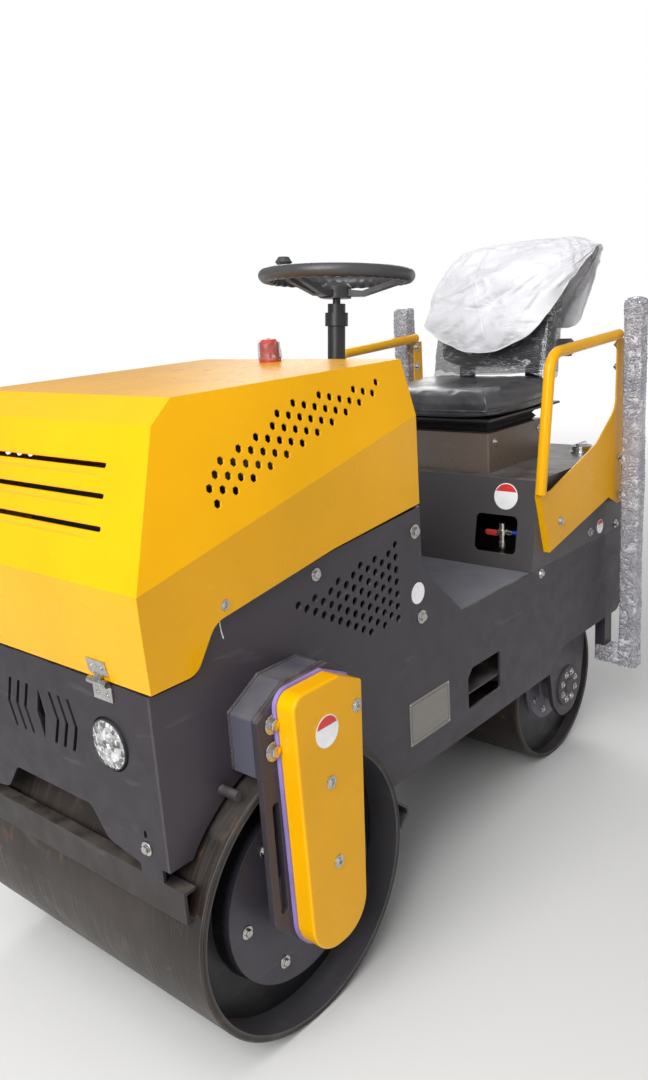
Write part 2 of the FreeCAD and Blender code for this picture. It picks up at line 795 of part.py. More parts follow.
def belly_plate():
    """Bottom plate with the wall behind the front drum and a shelf behind each hatch."""
    wall_x = -arch_r - 11
    rear = rear_axle_x + swing_r - 42
    floor = box(rear, wall_x, -inner, inner, sill_z, sill_z + plate)
    wall = box(wall_x - plate, wall_x, -inner, inner, sill_z, engine_z - plate)
    back = seat_foot_x + hatch_ahead - shelf_margin
    front = back + hatch_length + 45
    shelf_z = sill_z + hatch_lift + 33
    shelf = box(back, front, inner - shelf_depth, inner, shelf_z, shelf_z + 4)
    return Part.makeCompound([fused([floor, wall]), shelf, mirrored(shelf)])


def seat_front(z):
    """x of the seat base's leaning front at height z."""
    return seat_foot_x - seat_lean * (z - floor_z)


def seat_base():
    """Folded sheet box under the seat with a leaning front and a rounded window in it."""
    rows = [(seat_front(floor_z), floor_z), (seat_front(deck_z), deck_z, 4),
            (overall_rear, deck_z, 8), (overall_rear, floor_z)]
    shape = plate_y(rows, -body_half, body_half)
    t = seat_sheet
    below = floor_z - 1
    hollow = [(seat_front(below) - t, below), (seat_front(deck_z - t) - t, deck_z - t),
              (overall_rear + t, deck_z - t), (overall_rear + t, below)]
    shape = shape.cut(plate_y(hollow, -body_half + t, body_half - t))
    low, left = floor_z + 38, body_half - 51
    top, right = low + window_h, left - window_w
    window = [(right, low, 15), (left, low, 15), (left, top, 15), (right, top, 15)]
    return shape.cut(plate_x(window, seat_front(deck_z) - 20, seat_foot_x + 10))


def rear_panel():
    """Rear wall above the swing of the steered drum, with a folded foot."""
    low = yoke_top - 24
    wall = box(overall_rear, overall_rear + plate, -inner, inner, low, floor_z)
    return wall


def suspension_box():
    """Seat suspension housing: a folded cover with three slots in its front top edge."""
    front, back = suspension_front, suspension_front - suspension_length
    top = deck_z + suspension_height
    shape = box(back, front, -suspension_half, suspension_half, deck_z, top)
    upright = [e for e in shape.Edges if e.BoundBox.ZLength > 50]
    shape = shape.makeFillet(5, upright)
    cuts = [box(front - 4, front + 2, y - 2, y + 2, top - 17, top + 1) for y in (-120, -95, -70)]
    return shape.cut(Part.makeCompound(cuts))


def bellows():
    """Folded cover between the suspension and the seat, with two deep folds."""
    folds = 2
    pitch = bellows_height / folds
    low = pan_z - bellows_height
    front, back = suspension_front - 20, suspension_front - suspension_length + 20
    half = suspension_half - 13
    pieces = []
    for n in range(folds):
        z = low + n * pitch
        for r0, r1, z0 in ((8, 0, z), (0, 8, z + pitch / 2)):
            wires = []
            for r, height in ((r0, z0), (r1, z0 + pitch / 2)):
                x0, x1, y = back + r, front - r, half - r
                rows = [(x0, -y), (x1, -y), (x1, y), (x0, y)]
                wires.append(outline(rows, lambda p, height=height: Vec(p.x, p.y, height)))
            pieces.append(Part.makeLoft(wires, True, True))
    return fused(pieces)


def cushion():
    """Seat cushion with a rolled front and rounded corners, a plain padded solid."""
    front, back = seat_foot_x + 10, seat_foot_x + 10 - cushion_length
    half = seat_half
    rows = [(back, -half, 30), (front, -half, 60), (front, half, 60), (back, half, 30)]
    shape = plate_z(rows, cushion_z, cushion_top)
    edges = [e for e in shape.Edges if e.BoundBox.ZMin > cushion_top - 1]
    return shape.makeFillet(25, edges)


def backrest_rows(x):
    """Side view of the backrest, leaning back from its lower rear corner at x."""
    low, top = cushion_top + 6, cushion_top + 6 + backrest_height
    front = [(x + 75, low, 18), (x + 60, low + 120, 200), (x + 19, top, 40)]
    return [(x, low, 0)] + front + [(x - 66, top, 40)]


def backrest():
    """Backrest with a hollowed front, leaning back."""
    back = seat_foot_x - cushion_length + 3
    return plate_y(backrest_rows(back), -backrest_half, backrest_half)


def seat_frame():
    """Pan under the cushion with two uprights behind the backrest."""
    back = seat_foot_x - cushion_length + 3
    low = cushion_top + 6
    pan = box(back - 8, seat_foot_x - 30, -190, 190, pan_z, cushion_z)
    lean = 66 / backrest_height
    rows = [(back - 8, cushion_z), (back, cushion_z), (back, low), (back - 100 * lean, low + 100),
            (back - 8 - 100 * lean, low + 100), (back - 8, low)]
    uprights = [plate_y(rows, y - 25, y + 25) for y in (-110, 110)]
    return fused([pan] + uprights)


def cover_bag():
    """Cloth bag pulled over the top of the backrest, open below."""
    back = seat_foot_x - cushion_length + 3
    low, top = cushion_top + 6, cushion_top + 6 + backrest_height
    outer = [
        (back + 157, low + 129, 20), (back + 47, top + 52, 40), (back - 103, top + 52, 40),
        (back - 113, low + 134, 20),
    ]
    hollow = [(back + 132, low + 104), (back + 67, top), (back - 88, top), (back - 88, low + 104)]
    shape = plate_y(outer, -backrest_half - 45, backrest_half + 25)
    return shape.cut(plate_y(hollow, -backrest_half - 15, backrest_half + 12))


def backrest_knob():
    """Round ribbed adjuster knob on the left of the backrest."""
    x, z = seat_foot_x - cushion_length + 20, cushion_top + 75
    knob = rod_y(x, z, 24, backrest_half, backrest_half + 35)
    ribs = []
    for n in range(12):
        a = math.radians(30 * n)
        rib_x, rib_z = x + 24 * math.cos(a), z + 24 * math.sin(a)
        ribs.append(rod_y(rib_x, rib_z, 3, backrest_half + 8, backrest_half + 36))
    return knob.cut(Part.makeCompound(ribs))


def filler_cap():
    """Water tank filler: a neck ring, a cap and its grip bar."""
    x, y = overall_rear + 110, body_half - 73
    ring = rod_z(x, y, 33, deck_z, deck_z + 6)
    cap = rod_z(x, y, 28.5, deck_z + 6, deck_z + 20)
    grip = box(x - 26, x + 26, y - 5, y + 5, deck_z + 20, deck_z + 28)
    return fused([ring, cap, grip])


def valve_place():
    """Where the ball valve's middle is, behind the window of the seat base."""
    z = floor_z + 38 + window_h / 2
    return seat_front(z) - 30, body_half - 108, z


def water_valve():
    """Ball valve with lever, spout and bracket, and the hose's lower union on the wall."""
    x, y, z = valve_place()
    body = rod_z(x, y, 10, z - 26, z + 22)
    union = rod_z(x, y, 14, z - 8, z + 6)
    spout = rod_y(x, z - 1, 8, y, y + 30)
    stem = rod_x(y, z - 1, 5, x, x + 16)
    lever = fused([box(x + 12, x + 16, y - 42, y + 6, z - 7, z + 5), stem])
    shelf_z = z - 62
    post = rod_z(x, y, 12, shelf_z, z - 26)
    front = seat_front(shelf_z) - seat_sheet
    low_front = seat_front(shelf_z - 6) - seat_sheet
    shelf = [(x - 25, shelf_z - 6), (low_front, shelf_z - 6), (front, shelf_z), (x - 25, shelf_z)]
    bracket = plate_y(shelf, y - 20, y + 20)
    valve = fused([body, union, spout, post, bracket, lever])
    end_x, end_y, end_z = hose_points()[-1]
    wall = body_half - seat_sheet
    lower = box(end_x - 12, end_x + 12, end_y - 8, wall, end_z - 16, end_z)
    return Part.makeCompound([valve, lower])


def hose_points():
    """Route of the hose: out of the spout and round to the union below, in even steps."""
    x, y, z = valve_place()
    steps = [(30, 0), (50, 0), (74, 14), (88, 38), (88, 60)]
    return [(x, y + across, z - 1 - drop) for across, drop in steps]


def water_hose():
    """Hose from the valve's spout down to the union on the seat base's wall."""
    points = [Vec(*p) for p in hose_points()]
    shortest = min(b.distanceToPoint(a) for a, b in zip(points, points[1:]))
    bend = 0.45 * shortest / math.tan(math.radians(15))
    print("water_hose: radius", hose_r, "bend radius", round(bend, 1))
    return tube(hose_points(), bend, hose_r)


def guard_sheet():
    """Side view of the guard below its rail: x, z, corner radius."""
    front, back = seat_foot_x, post_x
    return [
        (front - 65, deck_z - 191, 0), (front - 19, deck_z - 34, 0), (front - 45, deck_z - 30, 0),
        (front - 75, deck_z - 30, 0), (back + 135, deck_z + 48, 60), (back + 21, deck_z + 126, 60),
        (back + 15, deck_z + 312, 0), (back - 25, deck_z + 312, 0), (back - 25, deck_z - 148, 0),
        (back + 5, deck_z - 148, 0), (back + 60, deck_z - 119, 0),
    ]


def side_guard():
    """Left guard: sheet with a folded front flange, spacers and a bent grab rail."""
    near, far = rail_y - guard_sheet_t / 2, rail_y + guard_sheet_t / 2
    front, back = seat_foot_x, post_x
    shape = plate_y(guard_sheet(), near, far)
    flange = [
        (front - 65, deck_z - 191), (front - 19, deck_z - 34), (front - 25, deck_z - 32),
        (front - 71, deck_z - 189),
    ]
    fold = plate_y(flange, body_half, near)
    bolted = ((front - 130, -98), (back + 75, -38))
    spacers = [rod_y(x, deck_z + z, 9, body_half, near) for x, z in bolted]
    points = [
        (front - 22, rail_y, deck_z - 32), (front - 76, rail_y, deck_z + 308),
        (back + 5, rail_y, deck_z + 324),
    ]
    rail = tube(points, rail_bend, rail_r)
    return fused([shape, fold, rail] + spacers)


def foot_reach(x_near):
    """Smallest y at which a post's foot stays outside the steered drum's swing."""
    return math.sqrt(swing_r ** 2 - x_near ** 2)


def post_frame():
    """Left post of the canopy frame; its foot turns in and up to a lug on the body."""
    h = post_half
    reach = foot_reach(post_x + h - rear_axle_x) + 2
    post = box(post_x - h, post_x + h, post_y - h, post_y + h, foot_z - h, post_top)
    foot = box(post_x - h, post_x + h, reach, post_y, foot_z - h, foot_z + h)
    lug = box(post_x - h, post_x + h, reach, inner, foot_z, rear_sill_z + 60)
    return fused([post, foot, lug])


def post_wrap():
    """Bubble wrap wound round the left post and its foot."""
    h = post_half + wrap_t
    reach = foot_reach(post_x + h - rear_axle_x)
    post = box(post_x - h, post_x + h, post_y - h, post_y + h, foot_z - h, post_top + 8)
    foot = box(post_x - h, post_x + h, reach, post_y, foot_z - h, foot_z + h)
    return fused([post, foot])


def kingpin_housing():
    """Cross plate and bearing housing that carry the steering yoke."""
    plate_z0 = nut_z - 12
    cross = box(rear_axle_x - 140, rear_axle_x + 140, -inner, inner, plate_z0, nut_z)
    rib_from = math.hypot(cyl_eye_x, cyl_eye_y) + 38
    rib = box(rear_axle_x - 4, rear_axle_x + 4, rib_from, inner, plate_z0 - 30, plate_z0)
    housing = rod_z(rear_axle_x, 0, 2 * kingpin_r, housing_z, nut_z)
    bore = rod_z(rear_axle_x, 0, kingpin_r + pin_gap, housing_z - 1, nut_z + 1)
    return fused([cross, housing, rib, mirrored(rib)]).cut(bore)


def cylinder_anchor():
    """Post on the belly plate with the pin for the steering cylinder's barrel."""
    x = rear_axle_x + cyl_base_x
    low, high = cyl_base_y - 24, cyl_base_y + 24
    top = box(x - 14, x + 60, low, high, cyl_z + cyl_r, cyl_z + cyl_r + 8)
    post = box(x + 30, x + 60, low, high, sill_z + plate, cyl_z + cyl_r)
    pin = rod_z(x, cyl_base_y, 10, cyl_z - 16, cyl_z + cyl_r)
    return fused([top, post, pin])


def yoke_leg():
    """Left leg of the yoke with an oval hole, a hub, the stub axle and a bolted cap."""
    axle_z = rear_r
    half = [
        (36, axle_z - 86, 60), (82, axle_z - 32, 60), (yoke_half - 8, axle_z + 78, 60),
        (yoke_half, yoke_top, 0),
    ]
    rows = [(-x, z, r) for x, z, r in reversed(half)] + half
    shape = plate_y([(rear_axle_x + x, z, r) for x, z, r in rows], yoke_y, yoke_y + yoke_t)
    hole = slot_rows(rear_axle_x + 72, axle_z + 160, 13, 32)
    shape = shape.cut(plate_y(hole, yoke_y - 1, yoke_y + yoke_t + 1))
    hub = rod_y(rear_axle_x, axle_z, 62, yoke_y - yoke_gap / 2, yoke_y)
    axle = rod_y(rear_axle_x, axle_z, rear_axle_r, rear_half - rear_recess - 4, yoke_y)
    face = yoke_y + yoke_t
    cap_rows = [(0, face), (56, face), (56, face + 5), (22, face + 5), (18, face + 9), (0, face + 9)]
    cap = turned(cap_rows, rear_axle_x, axle_z)
    return fused([shape, hub, axle, cap])


def steering_yoke():
    """Fork over the rear drum with its kingpin, stub axles and steering pin."""
    leg = yoke_leg()
    x = rear_axle_x
    nut_top = nut_z + nut_height
    parts = [leg, mirrored(leg)]
    parts.append(box(x - yoke_half, x + yoke_half, -yoke_y, yoke_y, yoke_top - yoke_plate, yoke_top))
    parts.append(rod_z(x, 0, 2 * kingpin_r - 4, yoke_top, housing_z - steer_gap))
    parts.append(rod_z(x, 0, kingpin_r, yoke_top, nut_top))
    parts.append(rod_z(x, 0, kingpin_r + 14, nut_z + steer_gap, nut_top))
    parts.append(rod_z(x + cyl_eye_x, cyl_eye_y, 8, yoke_top, cyl_z + 12))
    return fused(parts)


def rear_scraper():
    """Bent plate hanging behind the rear drum from the yoke's top."""
    top, low = yoke_top - 6, yoke_top - 156
    near, far = yoke_half, rear_r + 16
    rows = [
        (-near, top), (-far, top - 76), (-far + 20, low), (-far + 25, low + 2),
        (-far + 7, top - 78), (-near, top - 8),
    ]
    return plate_y([(rear_axle_x + x, z) for x, z in rows], -rear_half + 50, rear_half - 50)


def steering_cylinder():
    """Barrel pinned to the chassis and rod with its eye on the yoke's pin."""
    base = Vec(rear_axle_x + cyl_base_x, cyl_base_y, cyl_z)
    eye = Vec(rear_axle_x + cyl_eye_x, cyl_eye_y, cyl_z)
    along = eye - base
    span = along.Length
    along.normalize()
    barrel_end = 276
    rod_start = 110
    lug = Part.makeCylinder(20, 24, base - Vec(0, 0, 12))
    barrel = Part.makeCylinder(cyl_r - 1, barrel_end - 42, base + along * 26, along)
    neck = Part.makeCylinder(11, 30, base, along)
    gland = Part.makeCylinder(cyl_r, 16, base + along * (barrel_end - 16), along)
    port_at = (44, barrel_end - 30)
    ports = [Part.makeCylinder(7, cyl_r + 12, base + along * at, Vec(0, 0, 1)) for at in port_at]
    body = fused([lug, neck, barrel, gland] + ports)
    body = body.cut(Part.makeCylinder(10 + pin_gap, 30, base - Vec(0, 0, 15)))
    body = body.cut(Part.makeCylinder(cyl_rod_r + pin_gap, barrel_end, base + along * 40, along))
    rod = Part.makeCylinder(cyl_rod_r, span - rod_start - 19, base + along * rod_start, along)
    head = Part.makeCylinder(23, 20, eye - Vec(0, 0, 10))
    rod_part = fused([rod, head])
    return body, rod_part.cut(Part.makeCylinder(16, 24, eye - Vec(0, 0, 12)))


def build():
    left_plate = side_plate()
    keep("side_plate_left", left_plate)
    keep("side_plate_right", mirrored(left_plate))
    keep("front_panel", front_panel())
    keep("headlamps", headlamps())
    keep("front_scraper", front_scraper())
    keep("back_scraper", back_scraper())
    keep("arm_brackets", both_sides(arm_bracket()))
    arm = front_arm()
    keep("front_arm_left", arm)
    keep("front_arm_right", mirrored(arm))
    keep("belt_guard", belt_guard())
    keep("guard_seal", guard_seal())
    keep("travel_motor", travel_motor())
    keep("front_drum", drum(0, drum_r, drum_half, drum_wall))
    keep("front_drum_ends", front_drum_ends())
    keep("hood", hood())
    fixed, moving = hinge_leaves()
    keep("hinge_leaves_fixed", fixed)
    keep("hinge_leaves_hood", moving)
    keep("red_cap", red_cap())
    keep("bulkhead", bulkhead())
    keep("dashboard", dashboard())
    keep("travel_lever", travel_lever())
    keep("steering_column", steering_column())
    keep("steering_wheel", steering_wheel())
    keep("floor_plate", floor_plate())
    keep("engine_deck", engine_deck())
    keep("engine", engine())
    keep("belly_plate", belly_plate())
    keep("seat_base", seat_base())
    keep("rear_panel", rear_panel())
    keep("suspension_box", suspension_box())
    keep("seat_bellows", bellows())
    keep("seat_cushion", cushion())
    keep("seat_frame", seat_frame())
    keep("backrest", backrest())
    keep("cover_bag", cover_bag())
    keep("backrest_knob", backrest_knob())
    keep("filler_cap", filler_cap())
    keep("water_valve", water_valve())
    hose = water_hose()
    keep("water_hose", hose)
    guard = side_guard()
    keep("side_guard_left", guard)
    keep("side_guard_right", mirrored(guard))
    post = post_frame()
    keep("posts", both_sides(post))
    wrap = post_wrap().cut(post)
    keep("post_wrap_left", wrap)
    keep("post_wrap_right", mirrored(wrap))
    keep("kingpin_housing", kingpin_housing())
    keep("cylinder_anchor", cylinder_anchor())
    keep("steering_yoke", steering_yoke())
    keep("rear_scraper", rear_scraper())
    keep("rear_drum", drum(rear_axle_x, rear_r, rear_half, rear_wall))
    keep("rear_drum_ends", rear_drum_ends())
    barrel, rod = steering_cylinder()
    keep("steering_cylinder", barrel)
    keep("steering_rod", rod)
    print(len(kept), "pieces")


build()
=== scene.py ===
# %% [markdown]
# # A small ride-on road roller
# The machine stands as it left the workshop: painted, greased and half wrapped for the road. Its rigid pieces come
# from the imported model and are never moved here. This lesson gives them their finish, adds the small hardware, and
# makes the soft things, which are the cloth bag, the seat and the bubble wrap.
#
# All numbers are metres. X runs forward, Y to the operator's left and Z up, and the origin lies on the ground under
# the middle of the machine.

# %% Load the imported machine
import json
import math

import bmesh
import bpy
import numpy as np
from mathutils import Matrix, Vector


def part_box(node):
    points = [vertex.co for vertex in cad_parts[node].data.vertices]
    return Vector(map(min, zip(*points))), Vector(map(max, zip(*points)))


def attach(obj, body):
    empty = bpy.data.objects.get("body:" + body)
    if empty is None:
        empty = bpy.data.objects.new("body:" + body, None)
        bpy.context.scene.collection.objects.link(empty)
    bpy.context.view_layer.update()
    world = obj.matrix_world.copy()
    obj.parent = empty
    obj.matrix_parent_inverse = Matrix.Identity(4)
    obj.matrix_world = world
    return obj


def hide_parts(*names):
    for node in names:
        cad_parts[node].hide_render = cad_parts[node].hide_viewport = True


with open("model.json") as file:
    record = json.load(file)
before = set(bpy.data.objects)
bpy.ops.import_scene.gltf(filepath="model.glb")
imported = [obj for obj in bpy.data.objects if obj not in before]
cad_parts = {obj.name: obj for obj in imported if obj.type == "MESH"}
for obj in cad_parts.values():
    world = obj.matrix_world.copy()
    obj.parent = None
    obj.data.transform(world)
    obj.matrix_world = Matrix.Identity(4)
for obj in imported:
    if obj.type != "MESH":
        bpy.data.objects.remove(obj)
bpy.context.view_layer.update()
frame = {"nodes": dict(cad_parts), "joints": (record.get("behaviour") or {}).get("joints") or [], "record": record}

SEED = 7
TURN = 2 * math.pi
scene = bpy.context.scene
nodes = frame["nodes"]
joints = {joint["name"]: joint for joint in frame["joints"]}
joint_place = {name: Vector(joint["pos_m"]) for name, joint in joints.items() if "pos_m" in joint}
front_axle, rear_axle = joint_place["front_drum_roll"], joint_place["rear_drum_roll"]
print("front axle", tuple(front_axle), "rear axle", tuple(rear_axle))


def linked(name, data):
    """A new object of the scene."""
    obj = bpy.data.objects.new(name, data)
    scene.collection.objects.link(obj)
    return obj


def mesh_of(name, bm):
    """A mesh from a bmesh, which is freed."""
    mesh = bpy.data.meshes.new(name)
    bm.to_mesh(mesh)
    bm.free()
    return mesh


def add(tree, kind, links=None, **settings):
    """A node of a tree with its settings, then its inputs by name or number."""
    made = tree.nodes.new(kind)
    for key, value in settings.items():
        setattr(made, key, value)
    for key, value in (links or {}).items():
        if isinstance(value, bpy.types.NodeSocket):
            tree.links.new(value, made.inputs[key])
        else:
            made.inputs[key].default_value = value
    return made


def figure(tree, operation, a, b=0.0):
    """One sum of a shader tree."""
    return add(tree, "ShaderNodeMath", {0: a, 1: b}, operation=operation).outputs[0]


# %% [markdown]
# ## The camera
# The photograph was taken by a person standing at the machine's front left corner, holding the phone upright. The
# camera's place and angles were solved from straight edges of known size. A small roll is kept, because the upright
# edges lean in the picture. Blender wants a lens length, so the focal length in pixels is scaled to a sensor whose
# long side is 36 mm.

# %% Place the camera
PHOTO_LONG_SIDE = 1080
FOCAL_PIXELS = 937.1
SENSOR = 36.0
CAMERA_PLACE = Vector((1.6768, 1.4319, 1.3674))
YAW, PITCH, ROLL = (math.radians(angle) for angle in (221.55, -15.06, -3.85))

forward = Vector((math.cos(PITCH) * math.cos(YAW), math.cos(PITCH) * math.sin(YAW), math.sin(PITCH)))
level = forward.cross(Vector((0, 0, 1))).normalized()
upright = level.cross(forward)
right = level * math.cos(ROLL) + upright * math.sin(ROLL)
up = upright * math.cos(ROLL) - level * math.sin(ROLL)
lens = bpy.data.cameras.new("photo_camera")
lens.sensor_width = SENSOR
lens.lens = FOCAL_PIXELS / PHOTO_LONG_SIDE * SENSOR
lens.clip_end = 100
scene.camera = linked("photo_camera", lens)
scene.camera.matrix_world = Matrix.Translation(CAMERA_PLACE) @ Matrix((right, up, -forward)).transposed().to_4x4()
print("lens", round(lens.lens, 2), "mm")

# %% [markdown]
# ## The studio
# Daylight comes through an open gate in front of the machine and to its left, so the front faces are about twice as
# bright as the flanks. Large lamps give that soft light: a strong one at the gate, a faint one at the left side, one
# under the roof and one behind. The world is seen as white, but it lights the machine only gently.

# %% Light the machine
WORLD_LIGHT = 0.31
MIRRORED_LIGHT = 0.42
LAMPS = [
    # name, place, size across, power
    ("gate_lamp", (3.8, 1.1, 3.1), 3.2, 188.0),
    ("side_lamp", (0.2, 4.2, 2.4), 3.0, 7.0),
    ("roof_lamp", (1.7, 0.7, 4.1), 3.0, 52.0),
    ("far_lamp", (-3.6, -2.6, 3.2), 3.0, 75.0),
]
LOOK_AT = Vector((0, 0, 0.7))

for name, place, across, power in LAMPS:
    light = bpy.data.lights.new(name, "AREA")
    light.shape, light.size, light.energy = "DISK", across, power
    lamp = linked(name, light)
    lamp.location = place
    lamp.rotation_euler = (LOOK_AT - lamp.location).to_track_quat("-Z", "Y").to_euler()

world = scene.world = bpy.data.worlds.new("studio")
world.use_nodes = True
tree = world.node_tree
background = tree.nodes["Background"]
background.inputs["Color"].default_value = (1.0, 1.0, 1.0, 1.0)
rays = tree.nodes.new("ShaderNodeLightPath").outputs
seen = figure(tree, "MAXIMUM", rays["Is Camera Ray"], rays["Is Transmission Ray"])
shine = figure(tree, "MULTIPLY", rays["Is Glossy Ray"], MIRRORED_LIGHT)
bright = figure(tree, "MAXIMUM", figure(tree, "MAXIMUM", seen, shine), WORLD_LIGHT)
tree.links.new(bright, background.inputs["Strength"])
scene.view_settings.view_transform = "Standard"

# %% [markdown]
# ## Finishes
# A finish is a Principled shader plus a few textures on Object coordinates. Every machine part's mesh keeps its place
# in its vertices, so Object coordinates are the same as the machine's own metres and a grain has its true size. A
# small class keeps the node building short: it adds noise, maps a value to a range, mixes two colours and makes a
# bump. The Bevel node rounds each hard edge in the shading, and comparing it with the true normal tells where an edge
# is, which is where paint wears first.

# %% A small kit for finishes
finishes = {}


class Finish:
    """A Principled material, kept under its key, with the node moves that the finishes here share."""

    def __init__(self, key, name, colour, roughness, metallic=0.0, **sockets):
        self.material = finishes[key] = bpy.data.materials.new(name)
        self.material.use_nodes = True
        self.tree = self.material.node_tree
        self.bsdf = self.tree.nodes["Principled BSDF"]
        sockets.update(Base_Color=(*colour, 1), Roughness=roughness, Metallic=metallic)
        for socket, value in sockets.items():
            self.bsdf.inputs[socket.replace("_", " ")].default_value = value
        self.place = self.node("TexCoord").outputs["Object"]
        self.normal = None

    def node(self, kind, links=None, **settings):
        return add(self.tree, "ShaderNode" + kind, links, **settings)

    def stretched(self, scale, turn=(0, 0, 0), place=None):
        return self.node("Mapping", {"Vector": place or self.place, "Scale": scale, "Rotation": turn}).outputs[0]

    def noise(self, scale, detail=3.0, place=None, distortion=0.0):
        links = {"Vector": place or self.place, "Scale": scale, "Detail": detail, "Distortion": distortion}
        return self.node("TexNoise", links).outputs["Fac"]

    def cells(self, scale, place=None, feature="F1"):
        return self.node("TexVoronoi", {"Vector": place or self.place, "Scale": scale}, feature=feature)

    def span(self, value, low, high, out_low=0.0, out_high=1.0):
        links = {"Value": value, "From Min": low, "From Max": high, "To Min": out_low, "To Max": out_high}
        return self.node("MapRange", links).outputs["Result"]

    def math(self, operation, a, b=0.0):
        return figure(self.tree, operation, a, b)

    def vector(self, operation, a, b=None):
        return self.node("VectorMath", {0: a} if b is None else {0: a, 1: b}, operation=operation).outputs

    def parts(self, vector):
        return self.node("SeparateXYZ", {0: vector}).outputs

    def mix(self, factor, first, second):
        """Colour first where factor is 0, colour second where it is 1."""
        first, second = ((*colour, 1) if isinstance(colour, tuple) else colour for colour in (first, second))
        return self.node("Mix", {0: factor, 6: first, 7: second}, data_type="RGBA").outputs[2]

    def to(self, socket, value):
        self.tree.links.new(value, self.bsdf.inputs[socket])

    def bump(self, height, distance, strength=1.0):
        links = {"Height": height, "Distance": distance, "Strength": strength}
        if self.normal:
            links["Normal"] = self.normal
        self.normal = self.node("Bump", links).outputs["Normal"]
        self.to("Normal", self.normal)

    def edges(self, radius):
        """1 on hard edges and 0 elsewhere; the shading of the edges becomes round."""
        self.normal = self.node("Bevel", {"Radius": radius}, samples=6).outputs["Normal"]
        true = self.node("NewGeometry").outputs["Normal"]
        same = self.vector("DOT_PRODUCT", self.normal, true)["Value"]
        self.to("Normal", self.normal)
        return self.span(same, 0.97, 0.80)


# %% [markdown]
# The floor is a disc that fades to white with distance, so that no horizon shows from any side.

# %% Lay the floor
FLOOR_RADIUS = 14.0
FADE_START, FADE_END = 2.2, 7.0

bm = bmesh.new()
bmesh.ops.create_circle(bm, cap_ends=True, segments=96, radius=FLOOR_RADIUS)
floor = linked("studio_floor", mesh_of("studio_floor", bm))
pale = Finish("studio_floor", "pale_floor", (0.74, 0.74, 0.735), 0.75)
far = pale.vector("LENGTH", pale.place)["Value"]
fade = pale.node("MapRange", {"Value": far, "From Min": FADE_START, "From Max": FADE_END},
                 interpolation_type="SMOOTHSTEP").outputs["Result"]
glow = pale.node("Emission").outputs[0]
shown = pale.node("MixShader", {0: fade, 1: pale.bsdf.outputs[0], 2: glow}).outputs[0]
pale.tree.links.new(shown, pale.tree.nodes["Material Output"].inputs["Surface"])
floor.data.materials.append(pale.material)

# %% [markdown]
# ### Paint
# The hood and guards are sprayed gloss yellow: a saturated base, a clear coat, a fine orange peel and a faint cloud of
# thicker and thinner paint. The body is satin dark grey with dust on faces that look up, a few rubbed spots, and
# lighter edges where hands and tools have touched. One function makes both, because they differ only in colour, gloss
# and dirt. The front panel takes a darker copy of the grey as painted shade, and the arm brackets and the seat base
# take lighter copies as painted light.

# %% Sprayed paint
EDGE_ROUND = 0.0016
DUST = (0.30, 0.27, 0.23)


def paint(key, name, colour, worn, roughness, coat=0.0, dust=0.0, wear=0.5, scuffs=0.0, gloss=0.5, second=None):
    """Sprayed paint: colour clouds, orange peel, dust on top faces and rubbed edges.

    A second colour may cover part of a piece: it comes with the function that gives its mask."""
    finish = Finish(key, name, colour, roughness, Coat_Weight=coat, Coat_Roughness=0.06, Specular_IOR_Level=gloss)
    edge = finish.edges(EDGE_ROUND)
    cloud = finish.span(finish.noise(3.1, 4.0), 0.3, 0.7)
    shade = finish.mix(cloud, tuple(channel * 0.86 for channel in colour), colour)
    if second:
        mask, other = second
        shade = finish.mix(mask(finish), shade, other)
    broken = finish.span(finish.noise(60.0, 5.0), 0.42, 0.62)
    shade = finish.mix(finish.math("MULTIPLY", finish.math("MULTIPLY", edge, broken), wear), shade, worn)
    if scuffs:
        streaks = finish.noise(7.0, 6.0, finish.stretched((1.0, 1.0, 4.0), (0.3, 0.5, 0.2)), 0.6)
        shade = finish.mix(finish.span(streaks, 0.62, 0.74, 0.0, scuffs), shade, worn)
    if dust:
        true = finish.node("NewGeometry").outputs["Normal"]
        facing_up = finish.span(finish.parts(true)["Z"], 0.2, 0.95)
        patch = finish.span(finish.noise(14.0, 6.0), 0.35, 0.75)
        shade = finish.mix(finish.math("MULTIPLY", finish.math("MULTIPLY", facing_up, patch), dust), shade, DUST)
    finish.to("Base Color", shade)
    finish.to("Roughness", finish.span(finish.noise(22.0, 5.0), 0.3, 0.7, roughness * 0.85, roughness * 1.25))
    finish.bump(finish.noise(420.0, 2.0), 0.00004, 0.3)


def under_the_body(finish):
    """1 on the lugs below the body, which were sprayed together with it."""
    return finish.span(finish.parts(finish.place)["Z"], 0.446, 0.448, 1.0, 0.0)


